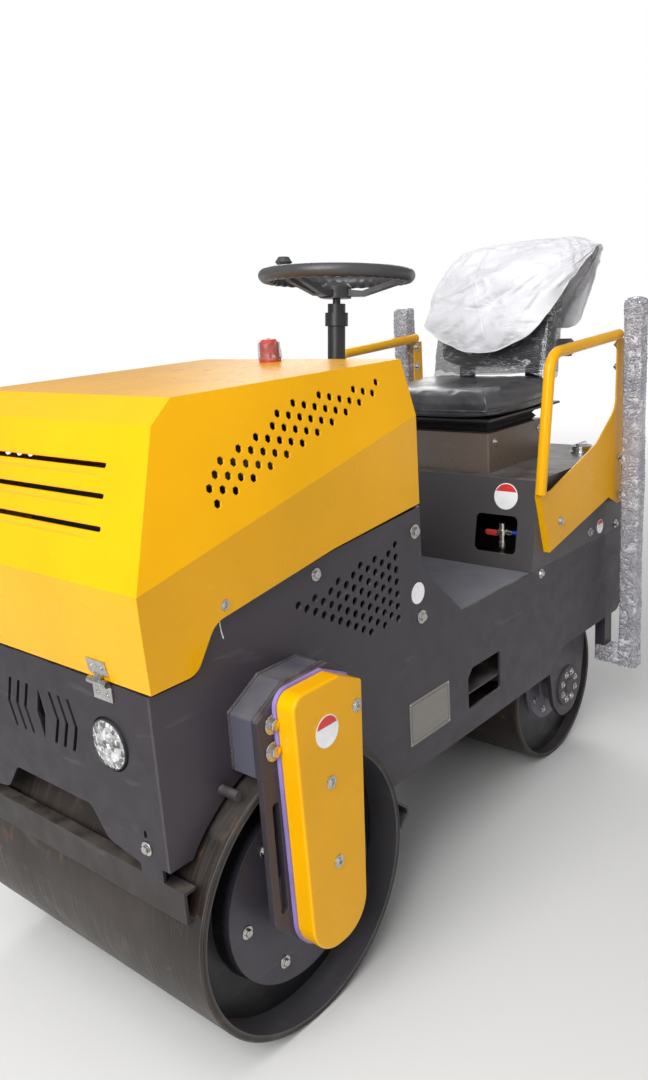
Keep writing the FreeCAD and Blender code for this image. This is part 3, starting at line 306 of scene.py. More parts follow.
YELLOW, YELLOW_WORN = (0.91, 0.44, 0.0), (0.95, 0.58, 0.05)
BODY_GREY, BODY_WORN = (0.048, 0.040, 0.050), (0.14, 0.135, 0.14)
SECOND = (under_the_body, BODY_GREY)
PAINTS = [
    # key, name, colour, worn colour, roughness, coat, dust, wear, scuffs, gloss, second colour
    ("yellow_paint", "gloss_yellow", YELLOW, YELLOW_WORN, 0.30, 0.24, 0.0, 0.35, 0.0, 0.14),
    ("posts", "post_yellow", YELLOW, YELLOW_WORN, 0.30, 0.24, 0.0, 0.5, 0.0, 0.14, SECOND),
    ("grey_paint", "satin_grey", BODY_GREY, BODY_WORN, 0.40, 0.0, 0.55, 0.6, 0.3, 0.42),
    # The front panel's grey is darker than the body's: painted shade that tones down the strong gate light on its face.
    ("front_panel", "front_panel_shaded_grey", (0.022, 0.017, 0.024), BODY_WORN, 0.40, 0.0, 0.4, 0.5, 0.25, 0.42),
    ("front_scraper", "front_scraper_grey", (0.022, 0.016, 0.016), BODY_WORN, 0.40, 0.0, 0.4, 0.5, 0.25, 0.42),
    # The arm brackets take a lighter, bluer copy of the body grey: painted light on the brackets.
    ("arm_brackets", "arm_brackets_lit_grey", (0.092, 0.092, 0.122), BODY_WORN, 0.40, 0.0, 0.4, 0.5, 0.25, 0.42),
    # The seat base takes a lighter copy of the body grey: painted light for its front, which lies in the hood's shadow.
    ("seat_base", "seat_base_lit_grey", (0.078, 0.071, 0.075), BODY_WORN, 0.36, 0.0, 0.55, 0.6, 0.2, 0.42),
    ("suspension_box", "seat_box_grey", (0.155, 0.118, 0.096), (0.25, 0.24, 0.22), 0.30, 0.0, 0.3, 0.5, 0.3),
    ("dark_paint", "satin_charcoal", (0.054, 0.048, 0.048), (0.14, 0.13, 0.13), 0.34, 0.0, 0.3, 0.5, 0.2),
    ("black_paint", "satin_black", (0.018, 0.018, 0.02), (0.10, 0.10, 0.10), 0.36, 0.0, 0.4),
    ("floor_paint", "trodden_blue_grey", (0.18, 0.19, 0.23), (0.24, 0.25, 0.27), 0.45, 0.0, 0.35, 0.7, 0.7),
    ("cast_iron", "painted_casting", (0.06, 0.06, 0.065), (0.16, 0.15, 0.14), 0.55, 0.0, 0.5, 0.7),
]
for row in PAINTS:
    paint(*row)
print(len(PAINTS), "paints")

# %% [markdown]
# ### Drum steel
# A roller's drum is thick plate, ground smooth by its work and painted dull grey for the shipping. Fine scratches run
# round it, which on Object coordinates is a noise stretched along the rolling direction: the angle about the axle is
# taken from the place, so the scratches follow the curve. The rim is rubbed bare. Inside it the end plate is painted
# near black beyond its raised flange, as painted shade for the dark recess, and only the flange is grey.

# %% Drum finish


def drum_finish(name, axle, rim_radius):
    finish = Finish(name, name + "_steel", (0.06, 0.055, 0.05), 0.42, Specular_IOR_Level=0.28)
    edge = finish.edges(0.003)
    about = finish.parts(finish.vector("SUBTRACT", finish.place, tuple(axle))[0])
    angle = finish.math("ARCTAN2", about["Z"], about["X"])
    squares = [finish.math("MULTIPLY", about[axis], about[axis]) for axis in ("X", "Z")]
    radius = finish.math("SQRT", finish.math("ADD", *squares))
    wound = finish.node("CombineXYZ", {0: angle, 1: about["Y"], 2: radius}).outputs[0]
    scratches = finish.noise(1.0, 6.0, finish.stretched((2.5, 160.0, 60.0), place=wound))
    cloud = finish.span(finish.noise(5.0, 5.0, distortion=0.4), 0.3, 0.72)
    shade = finish.mix(cloud, (0.018, 0.014, 0.012), (0.044, 0.035, 0.029))
    shade = finish.mix(finish.span(scratches, 0.50, 0.74, 0.0, 0.40), shade, (0.085, 0.075, 0.066))
    rubbed = finish.span(finish.noise(9.0, 6.0, finish.stretched((1.0, 0.6, 1.0)), 0.8), 0.56, 0.74, 0.0, 0.45)
    shade = finish.mix(rubbed, shade, (0.14, 0.135, 0.13))
    inner = finish.span(radius, rim_radius - 0.020, rim_radius - 0.008)
    shade = finish.mix(inner, (0.10, 0.10, 0.12), shade)
    rust = finish.span(finish.noise(24.0, 6.0, distortion=0.6), 0.60, 0.74, 0.0, 0.5)
    shade = finish.mix(finish.math("MULTIPLY", rust, inner), shade, (0.16, 0.075, 0.035))
    shade = finish.mix(finish.math("MULTIPLY", edge, 0.6), shade, (0.30, 0.28, 0.26))
    finish.to("Base Color", shade)
    finish.to("Roughness", finish.span(scratches, 0.3, 0.7, 0.34, 0.56))
    finish.bump(scratches, 0.0003, 0.5)


def beyond(axle, radius):
    """A mask that is 1 farther than a radius from a drum's axle."""
    def mask(finish):
        about = finish.vector("SUBTRACT", finish.place, tuple(axle))[0]
        flat = finish.vector("MULTIPLY", about, (1, 0, 1))[0]
        return finish.span(finish.vector("LENGTH", flat)["Value"], radius, radius + 0.001)
    return mask


# Beyond the flange the end plate is painted near black: painted shade for the dark recess inside the rim.
FLANGE_GREY, FLANGE_WORN, RECESS_PAINTED_SHADE = (0.046, 0.041, 0.055), (0.13, 0.125, 0.12), (0.008, 0.008, 0.010)
DRUMS = [
    # name, axle, inner radius of the flange, how much lighter the flange is painted; above 1 it is painted light
    ("front_drum", front_axle, 0.1885, 1.0),
    ("rear_drum", rear_axle, 0.1125, 2.9),
]
# The rear drum's flange grey is 2.9 times the front one's: a lighter copy of the same paint, as painted light on it.
for name, axle, radius, lighter in DRUMS:
    drum_finish(name, axle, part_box(name)[1].x - axle.x)
    paint(name + "_ends", name + "_ends_grey", tuple(lighter * channel for channel in FLANGE_GREY), FLANGE_WORN, 0.42,
          scuffs=0.25, second=(beyond(axle, radius), RECESS_PAINTED_SHADE))

# %% [markdown]
# ### Bare metal, rubber, plastic and glass
# Zinc plated screws are grey with a slight blotch, the filler cap and the cylinder's rod are polished. Black plastic
# has a fine moulded grain. Vinyl has a shallow leather grain of closed cells. The lamp's facets under a clear cover
# are painted bright or dark at random, which is a painted reflection of the places they would mirror.

# %% Small finishes


def metal(key, name, colour, roughness, blotch=0.15, brushed=(1, 1, 1)):
    finish = Finish(key, name, colour, roughness, 1.0)
    finish.edges(0.0005)
    mottle = finish.noise(90.0, 3.0, finish.stretched(brushed))
    darker = tuple(channel * (1 - 2 * blotch) for channel in colour)
    finish.to("Base Color", finish.mix(finish.span(mottle, 0.3, 0.7), darker, colour))
    finish.to("Roughness", finish.span(mottle, 0.3, 0.7, roughness * 0.8, roughness * 1.4))


def moulded(key, name, colour, roughness, grain=600.0, depth=0.00005):
    finish = Finish(key, name, colour, roughness)
    finish.edges(0.001)
    cloud = finish.span(finish.noise(9.0, 4.0), 0.3, 0.7)
    lighter = tuple(min(1.0, channel * 1.5 + 0.004) for channel in colour)
    finish.to("Base Color", finish.mix(cloud, colour, lighter))
    finish.to("Roughness", finish.span(finish.noise(35.0, 4.0), 0.3, 0.7, roughness * 0.85, roughness * 1.2))
    finish.bump(finish.cells(grain).outputs["Distance"], depth, 0.6)


def vinyl(key, name):
    """Padded seat vinyl: closed pebble grain under a soft gloss."""
    finish = Finish(key, name, (0.03, 0.03, 0.032), 0.30, Coat_Weight=0.3, Coat_Roughness=0.22)
    smudge = finish.span(finish.noise(12.0, 5.0), 0.35, 0.7)
    finish.to("Base Color", finish.mix(smudge, (0.032, 0.032, 0.037), (0.066, 0.064, 0.070)))
    finish.to("Roughness", finish.span(smudge, 0, 1, 0.26, 0.44))
    finish.bump(finish.cells(520.0, feature="SMOOTH_F1").outputs["Distance"], 0.00012, 0.5)


def faceted_lens(key, name):
    """A clear cover over a bright bowl of many facets, each with a painted reflection of another place."""
    finish = Finish(key, name, (0.8, 0.82, 0.85), 0.12, 0.8, Coat_Weight=1.0, Coat_Roughness=0.03)
    facet = finish.cells(118.0).outputs
    painted_glint = finish.span(finish.parts(facet["Color"])["X"], 0.15, 0.75)
    # Painted reflection: each facet's base colour is dark or bright at random.
    finish.to("Base Color", finish.mix(painted_glint, (0.16, 0.15, 0.15), (0.92, 0.93, 0.95)))
    finish.bump(facet["Distance"], 0.004, 0.8)


metal("bright_steel", "zinc_plate", (0.60, 0.59, 0.57), 0.26)
metal("chrome", "polished_chrome", (0.78, 0.78, 0.79), 0.09, 0.03)
metal("valve_metal", "nickel_fitting", (0.66, 0.63, 0.56), 0.22, 0.12)
metal("brass_fitting", "yellow_chromate", (0.80, 0.62, 0.20), 0.30, 0.2)
metal("plate_alloy", "brushed_alloy", (0.34, 0.32, 0.30), 0.42, 0.10, (0.06, 1, 1))
moulded("edge_rubber", "violet_edge_strip", (0.22, 0.165, 0.40), 0.5, 300.0)
moulded("black_rubber", "matt_rubber", (0.018, 0.018, 0.019), 0.65, 250.0, 0.0001)
moulded("black_plastic", "grained_plastic", (0.036, 0.036, 0.040), 0.36)
moulded("red_plastic", "red_plastic", (0.42, 0.03, 0.02), 0.30, 200.0)
moulded("blue_hose", "blue_hose", (0.01, 0.045, 0.42), 0.28, 200.0)
moulded("lamp_ring", "lamp_bezel", (0.02, 0.02, 0.022), 0.5)
moulded("white_print", "white_sticker", (0.74, 0.74, 0.76), 0.28, 900.0, 0.00002)
moulded("red_print", "red_sticker", (0.55, 0.03, 0.03), 0.28, 900.0, 0.00002)
moulded("plate_print", "grey_plate_print", (0.10, 0.095, 0.09), 0.45, 900.0, 0.00002)
vinyl("black_vinyl", "seat_vinyl")
faceted_lens("lamp", "faceted_lens")

# %% [markdown]
# ### Cloth, film and bubble wrap
# The bag is thin pressed cloth: white, with a faint crossing weave and soft creases. The stretch film and the bubble
# wrap are clear plastic. Real folds give them part of their glints, and the shader paints the rest as whitish, dense
# lines along noise creases; otherwise it is thin, glossy and partly transparent, and alpha is used for that.

# %% Soft finishes


def pressed_cloth(key, name):
    finish = Finish(key, name, (0.84, 0.835, 0.87), 0.75, Sheen_Weight=0.15)
    threads = [finish.node("TexWave", {"Vector": finish.stretched((1, 1, 1), (0, 0.8, turn)), "Scale": 260.0})
               for turn in (0, 1.57)]
    cloud = finish.span(finish.noise(11.0, 6.0), 0.3, 0.7)
    finish.to("Base Color", finish.mix(cloud, (0.66, 0.66, 0.695), (0.79, 0.79, 0.82)))
    finish.bump(finish.cells(22.0).outputs["Distance"], 0.0022, 0.35)
    drawn = finish.noise(8.0, 4.0, finish.stretched((1.0, 0.5, 1.1), (0.55, 0.1, 0.2)), 0.3)
    lines = finish.math("ABSOLUTE", finish.math("SUBTRACT", drawn, 0.5))
    finish.bump(finish.span(lines, 0.0, 0.07), 0.0050, 0.5)
    finish.bump(finish.noise(60.0, 5.0, distortion=1.0), 0.0012, 0.5)
    finish.bump(finish.math("ADD", *(thread.outputs["Fac"] for thread in threads)), 0.00008, 0.5)


def clear_film(key, name, dull, milky_glint, covers, crease_scale, pull, depth, width):
    """Thin glossy plastic: clear and dull between its creases, whitish and dense along them.
    The whitish crease colour is partly real whitening and partly painted glints.

    The creases are the level lines of a noise that is drawn out along the pull of the film."""
    finish = Finish(key, name, dull, 0.10, Coat_Weight=1.0, Coat_Roughness=0.03, Specular_IOR_Level=0.9)
    lie = finish.stretched(pull, (0.35, 0.15, 0.2))
    folds = finish.noise(crease_scale, 5.0, lie, 0.9)
    ridges = finish.math("ABSOLUTE", finish.math("SUBTRACT", folds, 0.5))
    crease = finish.span(ridges, 0.0, width, 1.0, 0.0)
    patch = finish.span(finish.noise(crease_scale * 0.4, 4.0, lie), 0.42, 0.64)
    line = finish.math("MULTIPLY", crease, finish.math("ADD", finish.math("MULTIPLY", patch, 0.75), 0.25))
    # Along the creases the colour turns whitish: partly real whitening, partly painted glints.
    finish.to("Base Color", finish.mix(line, dull, milky_glint))
    finish.to("Alpha", finish.span(line, 0.0, 1.0, *covers))
    finish.bump(finish.span(ridges, 0.0, 0.12), depth, 0.9)


FILMS = [
    # key, name, colour between creases and along them (partly a painted glint), alpha there, scale of creases, pull,
    # depth and width
    ("bubble_wrap", "bubble_film", (0.37, 0.36, 0.41), (0.98, 0.96, 0.98), (0.95, 1.0), 34.0, (1.0, 1.0, 1.5),
     0.006, 0.070),
    # The stretch film is darker and denser than clear film: painted shade that fills the gap under the backrest.
    ("stretch_film", "stretch_film", (0.09, 0.092, 0.10), (0.90, 0.91, 0.94), (0.58, 0.96), 24.0, (1.0, 0.45, 2.4),
     0.006, 0.030),
    ("cap_film", "cap_film", (0.16, 0.165, 0.175), (0.86, 0.87, 0.90), (0.30, 0.90), 60.0, (1.0, 1.0, 1.0),
     0.003, 0.020),
]
for row in FILMS:
    clear_film(*row)
pressed_cloth("white_cloth", "white_pressed_cloth")
print(len(finishes), "finishes")

# %% [markdown]
# ## Dressing the rigid pieces
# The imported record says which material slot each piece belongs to, so one loop gives every piece its finish. The
# drums have finishes of their own, because theirs turn about their own axles.

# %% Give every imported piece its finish
slot_of_node = {part["node"]: part["material_slot"] for part in frame["record"]["subparts"]}
for name, node in nodes.items():
    node.data.materials.clear()
    node.data.materials.append(finishes[name if name in finishes else slot_of_node[name]])
print(len(nodes), "packed pieces dressed")

# %% [markdown]
# ## Mesh tools
# The small parts are made of grids: a table of points, row by row, joined by quads. A grid that closes on itself in
# one direction is a tube or a ring, and in both directions it is a torus. `seat` drops a straight line on a packed
# piece and gives the point and the direction of the surface there, so that a bolt sits exactly on the metal.

# %% Grids, lathes and seats


def mesh_object(name, points, faces, *keys, smooth=True, body=None):
    """A linked object from points and faces, with one material for each key, on its body."""
    mesh = bpy.data.meshes.new(name)
    mesh.from_pydata([tuple(point) for point in points], [], faces)
    mesh.update()
    mesh.shade_smooth() if smooth else mesh.shade_flat()
    for key in keys:
        mesh.materials.append(finishes[key])
    obj = linked(name, mesh)
    if body:
        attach(obj, body)
    return obj


def stand_in(obj, node):
    """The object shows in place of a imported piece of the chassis."""
    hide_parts(node)
    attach(obj, "chassis")


def around(count, first=0.0):
    """Angles evenly spaced over a full turn."""
    return [first + TURN * k / count for k in range(count)]


def grid_faces(rows, columns, ring_rows=False, ring_columns=False, first=0):
    """Quads that join a table of points; a ring also joins the last line to the first."""
    faces = []
    for i in range(rows if ring_rows else rows - 1):
        for j in range(columns if ring_columns else columns - 1):
            below, beside = (i + 1) % rows, (j + 1) % columns
            corners = ((i, j), (i, beside), (below, beside), (below, j))
            faces.append([first + row * columns + column for row, column in corners])
    return faces


def merge(forms):
    """One table of points and one of faces from several."""
    points, faces = [], []
    for more_points, more_faces in forms:
        faces += [[len(points) + k for k in face] for face in more_faces]
        points += more_points
    return points, faces


def lathe(profile, sides):
    """Points and faces of a closed turned form about Z from rows of (radius, height)."""
    points = [(radius * math.cos(a), radius * math.sin(a), height) for radius, height in profile for a in around(sides)]
    faces = grid_faces(len(profile), sides, ring_columns=True)
    faces.append(list(range(sides - 1, -1, -1)))
    faces.append([len(points) - sides + k for k in range(sides)])
    return points, faces


def strike(obj, start, direction):
    """Where a line from start along direction meets an object, and the face's direction there."""
    hit, place, normal, _ = obj.ray_cast(Vector(start), Vector(direction).normalized())
    return (place, normal) if hit else None


def seat(node, start, direction):
    """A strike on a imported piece, which has to be there."""
    found = strike(nodes[node], start, direction)
    if not found:
        raise ValueError("nothing of " + node + " lies below the seat at " + str(start))
    return found


def on_side(node, x, z, side=1):
    return seat(node, (x, side, z), (0, -side, 0))


def on_front(node, y, z):
    return seat(node, (2, y, z), (-1, 0, 0))


def ridges(places, scale, turns=4, seed=SEED):
    """Sums of tilted waves from a seeded generator: a smooth creased field in -1 to 1."""
    dice = np.random.default_rng(seed)
    field = np.zeros(len(places))
    total = 0.0
    for octave in range(turns):
        weight = 0.62 ** octave
        for _ in range(3):
            direction = dice.normal(size=3)
            direction /= np.linalg.norm(direction)
            phase = dice.uniform(0, TURN)
            bend = dice.normal(size=3) * 0.35
            swing = np.sin(places @ bend * scale * 0.9 + phase)
            wave = np.sin(places @ direction * scale * 1.9 ** octave + 1.6 * swing + phase)
            field += weight * (1 - 2 * np.abs(wave))
            total += weight
    return field / total


def vertex_array(mesh, key="co"):
    """The vertices' places, or another vector of theirs, as rows."""
    flat = np.empty(len(mesh.vertices) * 3)
    mesh.vertices.foreach_get(key, flat)
    return flat.reshape(-1, 3)


def write_vertices(mesh, places):
    mesh.vertices.foreach_set("co", places.ravel())
    mesh.update()


def apply_all(obj):
    """Replaces the mesh by what the modifiers make of it."""
    graph = bpy.context.evaluated_depsgraph_get()
    baked = bpy.data.meshes.new_from_object(obj.evaluated_get(graph))
    obj.modifiers.clear()
    obj.data = baked


# %% [markdown]
# ## Bolts, screws and rivets
# The same few fasteners repeat all over the machine, so each kind is drawn once and Geometry Nodes sets a copy on
# every point of a cloud. The points carry the direction to aim at, the size and a turn about their own axis. The tree
# ends by realizing the copies and giving them their material, and the result is baked to a plain mesh, one for each
# body, because all fasteners of one body move together.

# %% A Geometry Nodes tree that sets one form on every point


def new_tree(name, **sockets):
    """A Geometry Nodes tree with a geometry going in and out, named inputs and a finish."""
    tree = bpy.data.node_groups.new(name, "GeometryNodeTree")
    for way in ("INPUT", "OUTPUT"):
        tree.interface.new_socket("Geometry", in_out=way, socket_type="NodeSocketGeometry")
    for key, kind in (*sockets.items(), ("Finish", "Material")):
        tree.interface.new_socket(key, in_out="INPUT", socket_type="NodeSocket" + kind)
    return tree, tree.nodes.new("NodeGroupInput").outputs


def end_tree(tree, start, form, **links):
    """Sets a copy of the form on every point, makes the copies real and gives them the finish."""
    links["Instance"] = add(tree, "GeometryNodeObjectInfo", {"Object": start[form]}).outputs["Geometry"]
    copies = add(tree, "GeometryNodeInstanceOnPoints", links).outputs[0]
    real = add(tree, "GeometryNodeRealizeInstances", {0: copies}).outputs[0]
    painted = add(tree, "GeometryNodeSetMaterial", {"Geometry": real, "Material": start["Finish"]}).outputs[0]
    tree.links.new(painted, tree.nodes.new("NodeGroupOutput").inputs[0])
    return tree


def seating_tree():
    """Copies of the input object on points, aimed, turned and sized by attributes."""
    tree, start = new_tree("set_on_points", Form="Object")
    aim, turn, size = (
        add(tree, "GeometryNodeInputNamedAttribute", {"Name": name}, data_type=kind).outputs["Attribute"]
        for name, kind in (("aim", "FLOAT_VECTOR"), ("turn", "FLOAT"), ("size", "FLOAT"))
    )
    aimed = add(tree, "FunctionNodeAlignRotationToVector", {"Vector": aim}, axis="Z").outputs["Rotation"]
    about = add(tree, "FunctionNodeAxisAngleToRotation", {"Axis": (0, 0, 1), "Angle": turn}).outputs[0]
    turned = add(tree, "FunctionNodeRotateRotation", {0: aimed, 1: about}, rotation_space="LOCAL").outputs[0]
    return end_tree(tree, start, "Form", Points=start["Geometry"], Rotation=turned, Scale=size)


def bake(name, mesh, tree, **values):
    """An object whose mesh is the tree's result; the modifier itself is gone again."""
    obj = linked(name, mesh)
    modifier = obj.modifiers.new(name, "NODES")
    modifier.node_group = tree
    for item in tree.interface.items_tree:
        if item.in_out == "INPUT" and item.name in values:
            modifier[item.identifier] = values[item.name]
    apply_all(obj)
    return obj


def set_on_points(name, body, kind, rows):
    """Fasteners of one kind on a body; a row is (place, aim, size, turn)."""
    mesh = bpy.data.meshes.new(name)
    mesh.from_pydata([tuple(row[0]) for row in rows], [], [])
    mesh.attributes.new("aim", "FLOAT_VECTOR", "POINT").data.foreach_set("vector", [v for row in rows for v in row[1]])
    for key, column in (("size", 2), ("turn", 3)):
        mesh.attributes.new(key, "FLOAT", "POINT").data.foreach_set("value", [row[column] for row in rows])
    fastener = bake(name, mesh, SETTING, Form=KINDS[kind], Finish=finishes["bright_steel"])
    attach(fastener, body)
    print(name, len(rows), "set,", len(fastener.data.polygons), "faces")


def hidden_form(name, *forms, smooth=False):
    """One object from several closed forms, to be set on points."""
    points, faces = merge(forms)
    mesh = bpy.data.meshes.new(name)
    mesh.from_pydata(points, [], faces)
    mesh.update()
    if smooth:
        mesh.shade_smooth()
    return bpy.data.objects.new(name, mesh)


def recessed_head(profile, sides, outline, depth):
    """A turned head with a pit in its top; the outline gives the pit's radius at each side."""
    points, faces = lathe(profile, sides)
    faces.pop()
    top = profile[-1][1]
    faces += grid_faces(3, sides, ring_columns=True, first=len(points) - sides)
    for height in (top, top - depth):
        points += [(reach * math.cos(a), reach * math.sin(a), height) for reach, a in zip(outline, around(sides))]
    faces.append([len(points) - sides + k for k in range(sides)])
    return points, faces


# All forms have a head about one unit in radius; the points carry the real size.
WASHER = lathe([(1.55, 0.0), (1.62, 0.05), (1.62, 0.20), (1.55, 0.26)], 28)
HEX_HEAD = lathe([(1.0, 0.24), (1.0, 0.86), (0.88, 1.0)], 6)
STUB = lathe([(0.55, 1.0), (0.55, 1.28), (0.44, 1.40)], 16)
HEXAGON = [0.52 * math.cos(math.pi / 6) / math.cos(a % (math.pi / 3) - math.pi / 6)
           for a in (math.radians(15 * k) for k in range(24))]
CROSS = [0.58 if k % 4 == 0 else 0.17 for k in range(16)]
BUTTON = recessed_head([(1.0, 0.0), (1.0, 0.10), (0.93, 0.34), (0.74, 0.52), (0.60, 0.58)], 24, HEXAGON, 0.34)
PAN = recessed_head([(1.0, 0.0), (1.0, 0.18), (0.92, 0.38), (0.70, 0.52)], 16, CROSS, 0.30)
DOME = lathe([(1.0, 0.0), (0.97, 0.16), (0.80, 0.40), (0.50, 0.56), (0.16, 0.63)], 16)
KINDS = {
    "hex": hidden_form("hex_bolt", WASHER, HEX_HEAD),
    "nut": hidden_form("nut_on_stud", WASHER, HEX_HEAD, STUB),
    "button": hidden_form("socket_button", WASHER, BUTTON),
    "screw": hidden_form("cross_screw", PAN),
    "rivet": hidden_form("rivet", DOME, smooth=True),
}
SETTING = seating_tree()

# %% [markdown]
# The tables below say where the fasteners are. Places on the left flank were read off the photograph through the
# solved camera, and the right flank has the same ones by symmetry. A size is half the width across the head's corners:
# 9 mm is an M10 bolt.

# %% Where the fasteners are
M12, M10, M8, M6, M4 = 0.0112, 0.0095, 0.0078, 0.0060, 0.0038
ARM_BOLTS = [(0.6717, 0.6675), (0.6748, 0.6189), (0.4803, 0.6675), (0.4772, 0.6189)]
SIDE_BOLTS = [
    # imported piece, x, z, kind, size; both flanks have them
    ("side_plate", 0.455, 0.859, "hex", M8),
    ("side_plate", 0.141, 0.8655, "hex", M10),
    ("side_plate", 0.127, 0.673, "hex", M10),
    ("side_plate", -0.404, 0.623, "hex", M8),
    ("side_guard", -0.479, 0.746, "hex", M8),
    ("side_guard", -0.838, 0.850, "hex", M8),
    ("side_guard", -0.838, 0.744, "hex", M8),
    *(("front_arm", x, z, "hex", M12) for x, z in ARM_BOLTS),
    ("seat_base", -0.687, 0.665, "hex", M8),
    ("seat_base", -0.8515, 0.652, "hex", M8),
    ("suspension_box", -0.695, 0.948, "nut", M6),
    ("suspension_box", -0.455, 0.948, "nut", M6),
]
RAIL_NUTS = [(-0.8228, 1.165), (-0.8213, 1.105)]
GUARD_BOLTS = [(0.504, 0.647), (0.585, 0.532), (0.579, 0.371)]
RINGS = [
    # body, piece, axle, radius, count, first angle, size, how far out the lines start, sides
    ("chassis", "travel_motor", front_axle, 0.068, 6, 30.0, M6, 1.0, (-1,)),
    ("front_drum", "front_drum_ends", front_axle, 0.147, 6, -6.0, M8, 0.37, (1, -1)),
    ("rear_drum", "rear_drum_ends", rear_axle, 0.084, 8, 22.5, M6, 0.245, (1, -1)),
    ("yoke", "steering_yoke", rear_axle, 0.040, 8, 22.5, M6, 0.40, (1, -1)),
]
HINGE_Y, HINGE_SCREW_Y = 0.205, 0.013
rows_of = {}


def bolt(body, kind, size, place_and_aim, turn=0.3):
    rows_of.setdefault((body, kind), []).append((*place_and_aim, size, turn))


def sided(piece, side):
    """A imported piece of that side, or the one piece that reaches across."""
    name = piece + ("_left" if side > 0 else "_right")
    return name if name in nodes else piece


for side in (1, -1):
    for piece, x, z, kind, size in SIDE_BOLTS:
        turn = {"seat_base": 5 * x, "suspension_box": 0.3}.get(piece, 7 * x + 3 * z)
        bolt("chassis", kind, size, on_side(sided(piece, side), x, z, side), turn)
    for x, z in RAIL_NUTS:
        bolt("chassis", "nut", M8, seat(sided("side_guard", side), (x, side * 0.2, z), (0, side, 0)))
for x, z in GUARD_BOLTS:
    bolt("chassis", "button", M8, on_side("belt_guard", x, z), 9 * x)
for y in (-0.268, 0.268):
    bolt("chassis", "hex", M8, on_front("front_panel", y, 0.483))
for body, piece, axle, radius, count, first, size, start, sides in RINGS:
    for side in sides:
        for a in around(count, math.radians(first)):
            line = (axle.x + radius * math.cos(a), side * start, axle.z + radius * math.sin(a))
            bolt(body, "hex", size, seat(piece, line, (0, -side, 0)), a)
hinge_pin = joint_place["hood_tilt"]
for middle in (-HINGE_Y, HINGE_Y):
    for y in (middle - HINGE_SCREW_Y, middle + HINGE_SCREW_Y):
        bolt("chassis", "screw", M4, on_front("hinge_leaves_fixed", y, hinge_pin.z - 0.024), 20 * y)
        bolt("hood", "screw", M4, on_front("hinge_leaves_hood", y, hinge_pin.z + 0.026), 31 * y)
for side in (1, -1):
    bolt("hood", "button", M6, on_side("hood", 0.701, 0.878, side))
for (body, kind), rows in rows_of.items():
    set_on_points(body + "_" + kind + "_set", body, kind, rows)

# %% [markdown]
# ## Weld beads
# Plates that meet are joined by fillet welds. A bead is a row of small flattened drops that overlap like coins, each
# a little different in size and turn. Geometry Nodes resamples a line into points, picks each drop's scale from a
# seeded random value and sets the drop on it.

# %% Beads along lines
BEAD = 0.0042
DROP_PROFILE = [(0.30, -0.75), (0.95, -0.45), (1.0, 0.0), (0.80, 0.50), (0.28, 0.72)]


def bead_tree():
    tree, start = new_tree("weld_bead", Drop="Object", Step="Float", Seed="Int")
    curve = add(tree, "GeometryNodeMeshToCurve", {0: start["Geometry"]}).outputs[0]
    links = {"Curve": curve, "Length": start["Step"]}
    evenly = add(tree, "GeometryNodeResampleCurve", links, mode="LENGTH").outputs[0]
    along = add(tree, "GeometryNodeInputTangent").outputs[0]
    aimed = add(tree, "FunctionNodeAlignRotationToVector", {"Vector": along}, axis="X").outputs["Rotation"]
    links = {"Min": (0.75, 0.85, 0.8), "Max": (1.1, 1.2, 1.15), "Seed": start["Seed"]}
    various = add(tree, "FunctionNodeRandomValue", links, data_type="FLOAT_VECTOR").outputs[0]
    return end_tree(tree, start, "Drop", Points=evenly, Rotation=aimed, Scale=various)


def lines_mesh(name, lines):
    """Edges along several lines of points."""
    edges = []
    first = 0
    for line in lines:
        edges += [(first + k, first + k + 1) for k in range(len(line) - 1)]
        first += len(line)
    mesh = bpy.data.meshes.new(name)
    mesh.from_pydata([point for line in lines for point in line], edges, [])
    return mesh


def ring_line(centre, radius, y, start=0.0, stop=360.0, count=48):
    angles = [math.radians(start + (stop - start) * k / count) for k in range(count + 1)]
    return [(centre.x + radius * math.cos(a), y, centre.z + radius * math.sin(a)) for a in angles]


drop = hidden_form("weld_drop", lathe([(BEAD * u, BEAD * v) for u, v in DROP_PROFILE], 8), smooth=True)
low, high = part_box("arm_brackets")
flank = on_side("side_plate_left", 0.30, 0.60)[0].y + 0.001
arm_face = on_side("front_arm_left", 0.576, 0.60)[0].y - 0.013
shoulder = low.z + 0.107
bracket_edge = [(low.x, low.z + 0.004), (low.x, shoulder), (front_axle.x - 0.050, high.z),
                (front_axle.x + 0.050, high.z), (high.x, shoulder), (high.x, low.z + 0.004)]
yoke_low, yoke_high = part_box("steering_yoke")
YOKE_ROOF = 0.484
leg_out = on_side("steering_yoke", rear_axle.x - 0.09, 0.30)[0].y + 0.001
WELDS = {
    "chassis": [
        [(x, flank, z) for x, z in bracket_edge],
        [(x, arm_face, z) for x, z in bracket_edge],
        ring_line(front_axle, 0.081, arm_face, -150, 330, 60),
    ],
    "yoke": [
        [(yoke_low.x + 0.004, leg_out, YOKE_ROOF), (yoke_high.x - 0.004, leg_out, YOKE_ROOF)],
        ring_line(rear_axle, 0.0565, leg_out),
    ],
}
beads = bead_tree()
for body, lines in WELDS.items():
    name = body + "_weld_beads"
    lines += [[(x, -y, z) for x, y, z in line] for line in lines]
    welds = bake(name, lines_mesh(name, lines), beads, Drop=drop, Step=BEAD * 0.75, Seed=SEED,
                 Finish=finishes["grey_paint"])
    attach(welds, body)
    print(welds.name, len(welds.data.polygons), "faces")

# %% [markdown]
# ## Blank plates and discs
# The data plate is a thin aluminium sheet with a printed frame and four rivets, and it stays blank. The round stickers
# are blank too: a white disc, on three of them with a red top segment, as a printed sign has before its words.

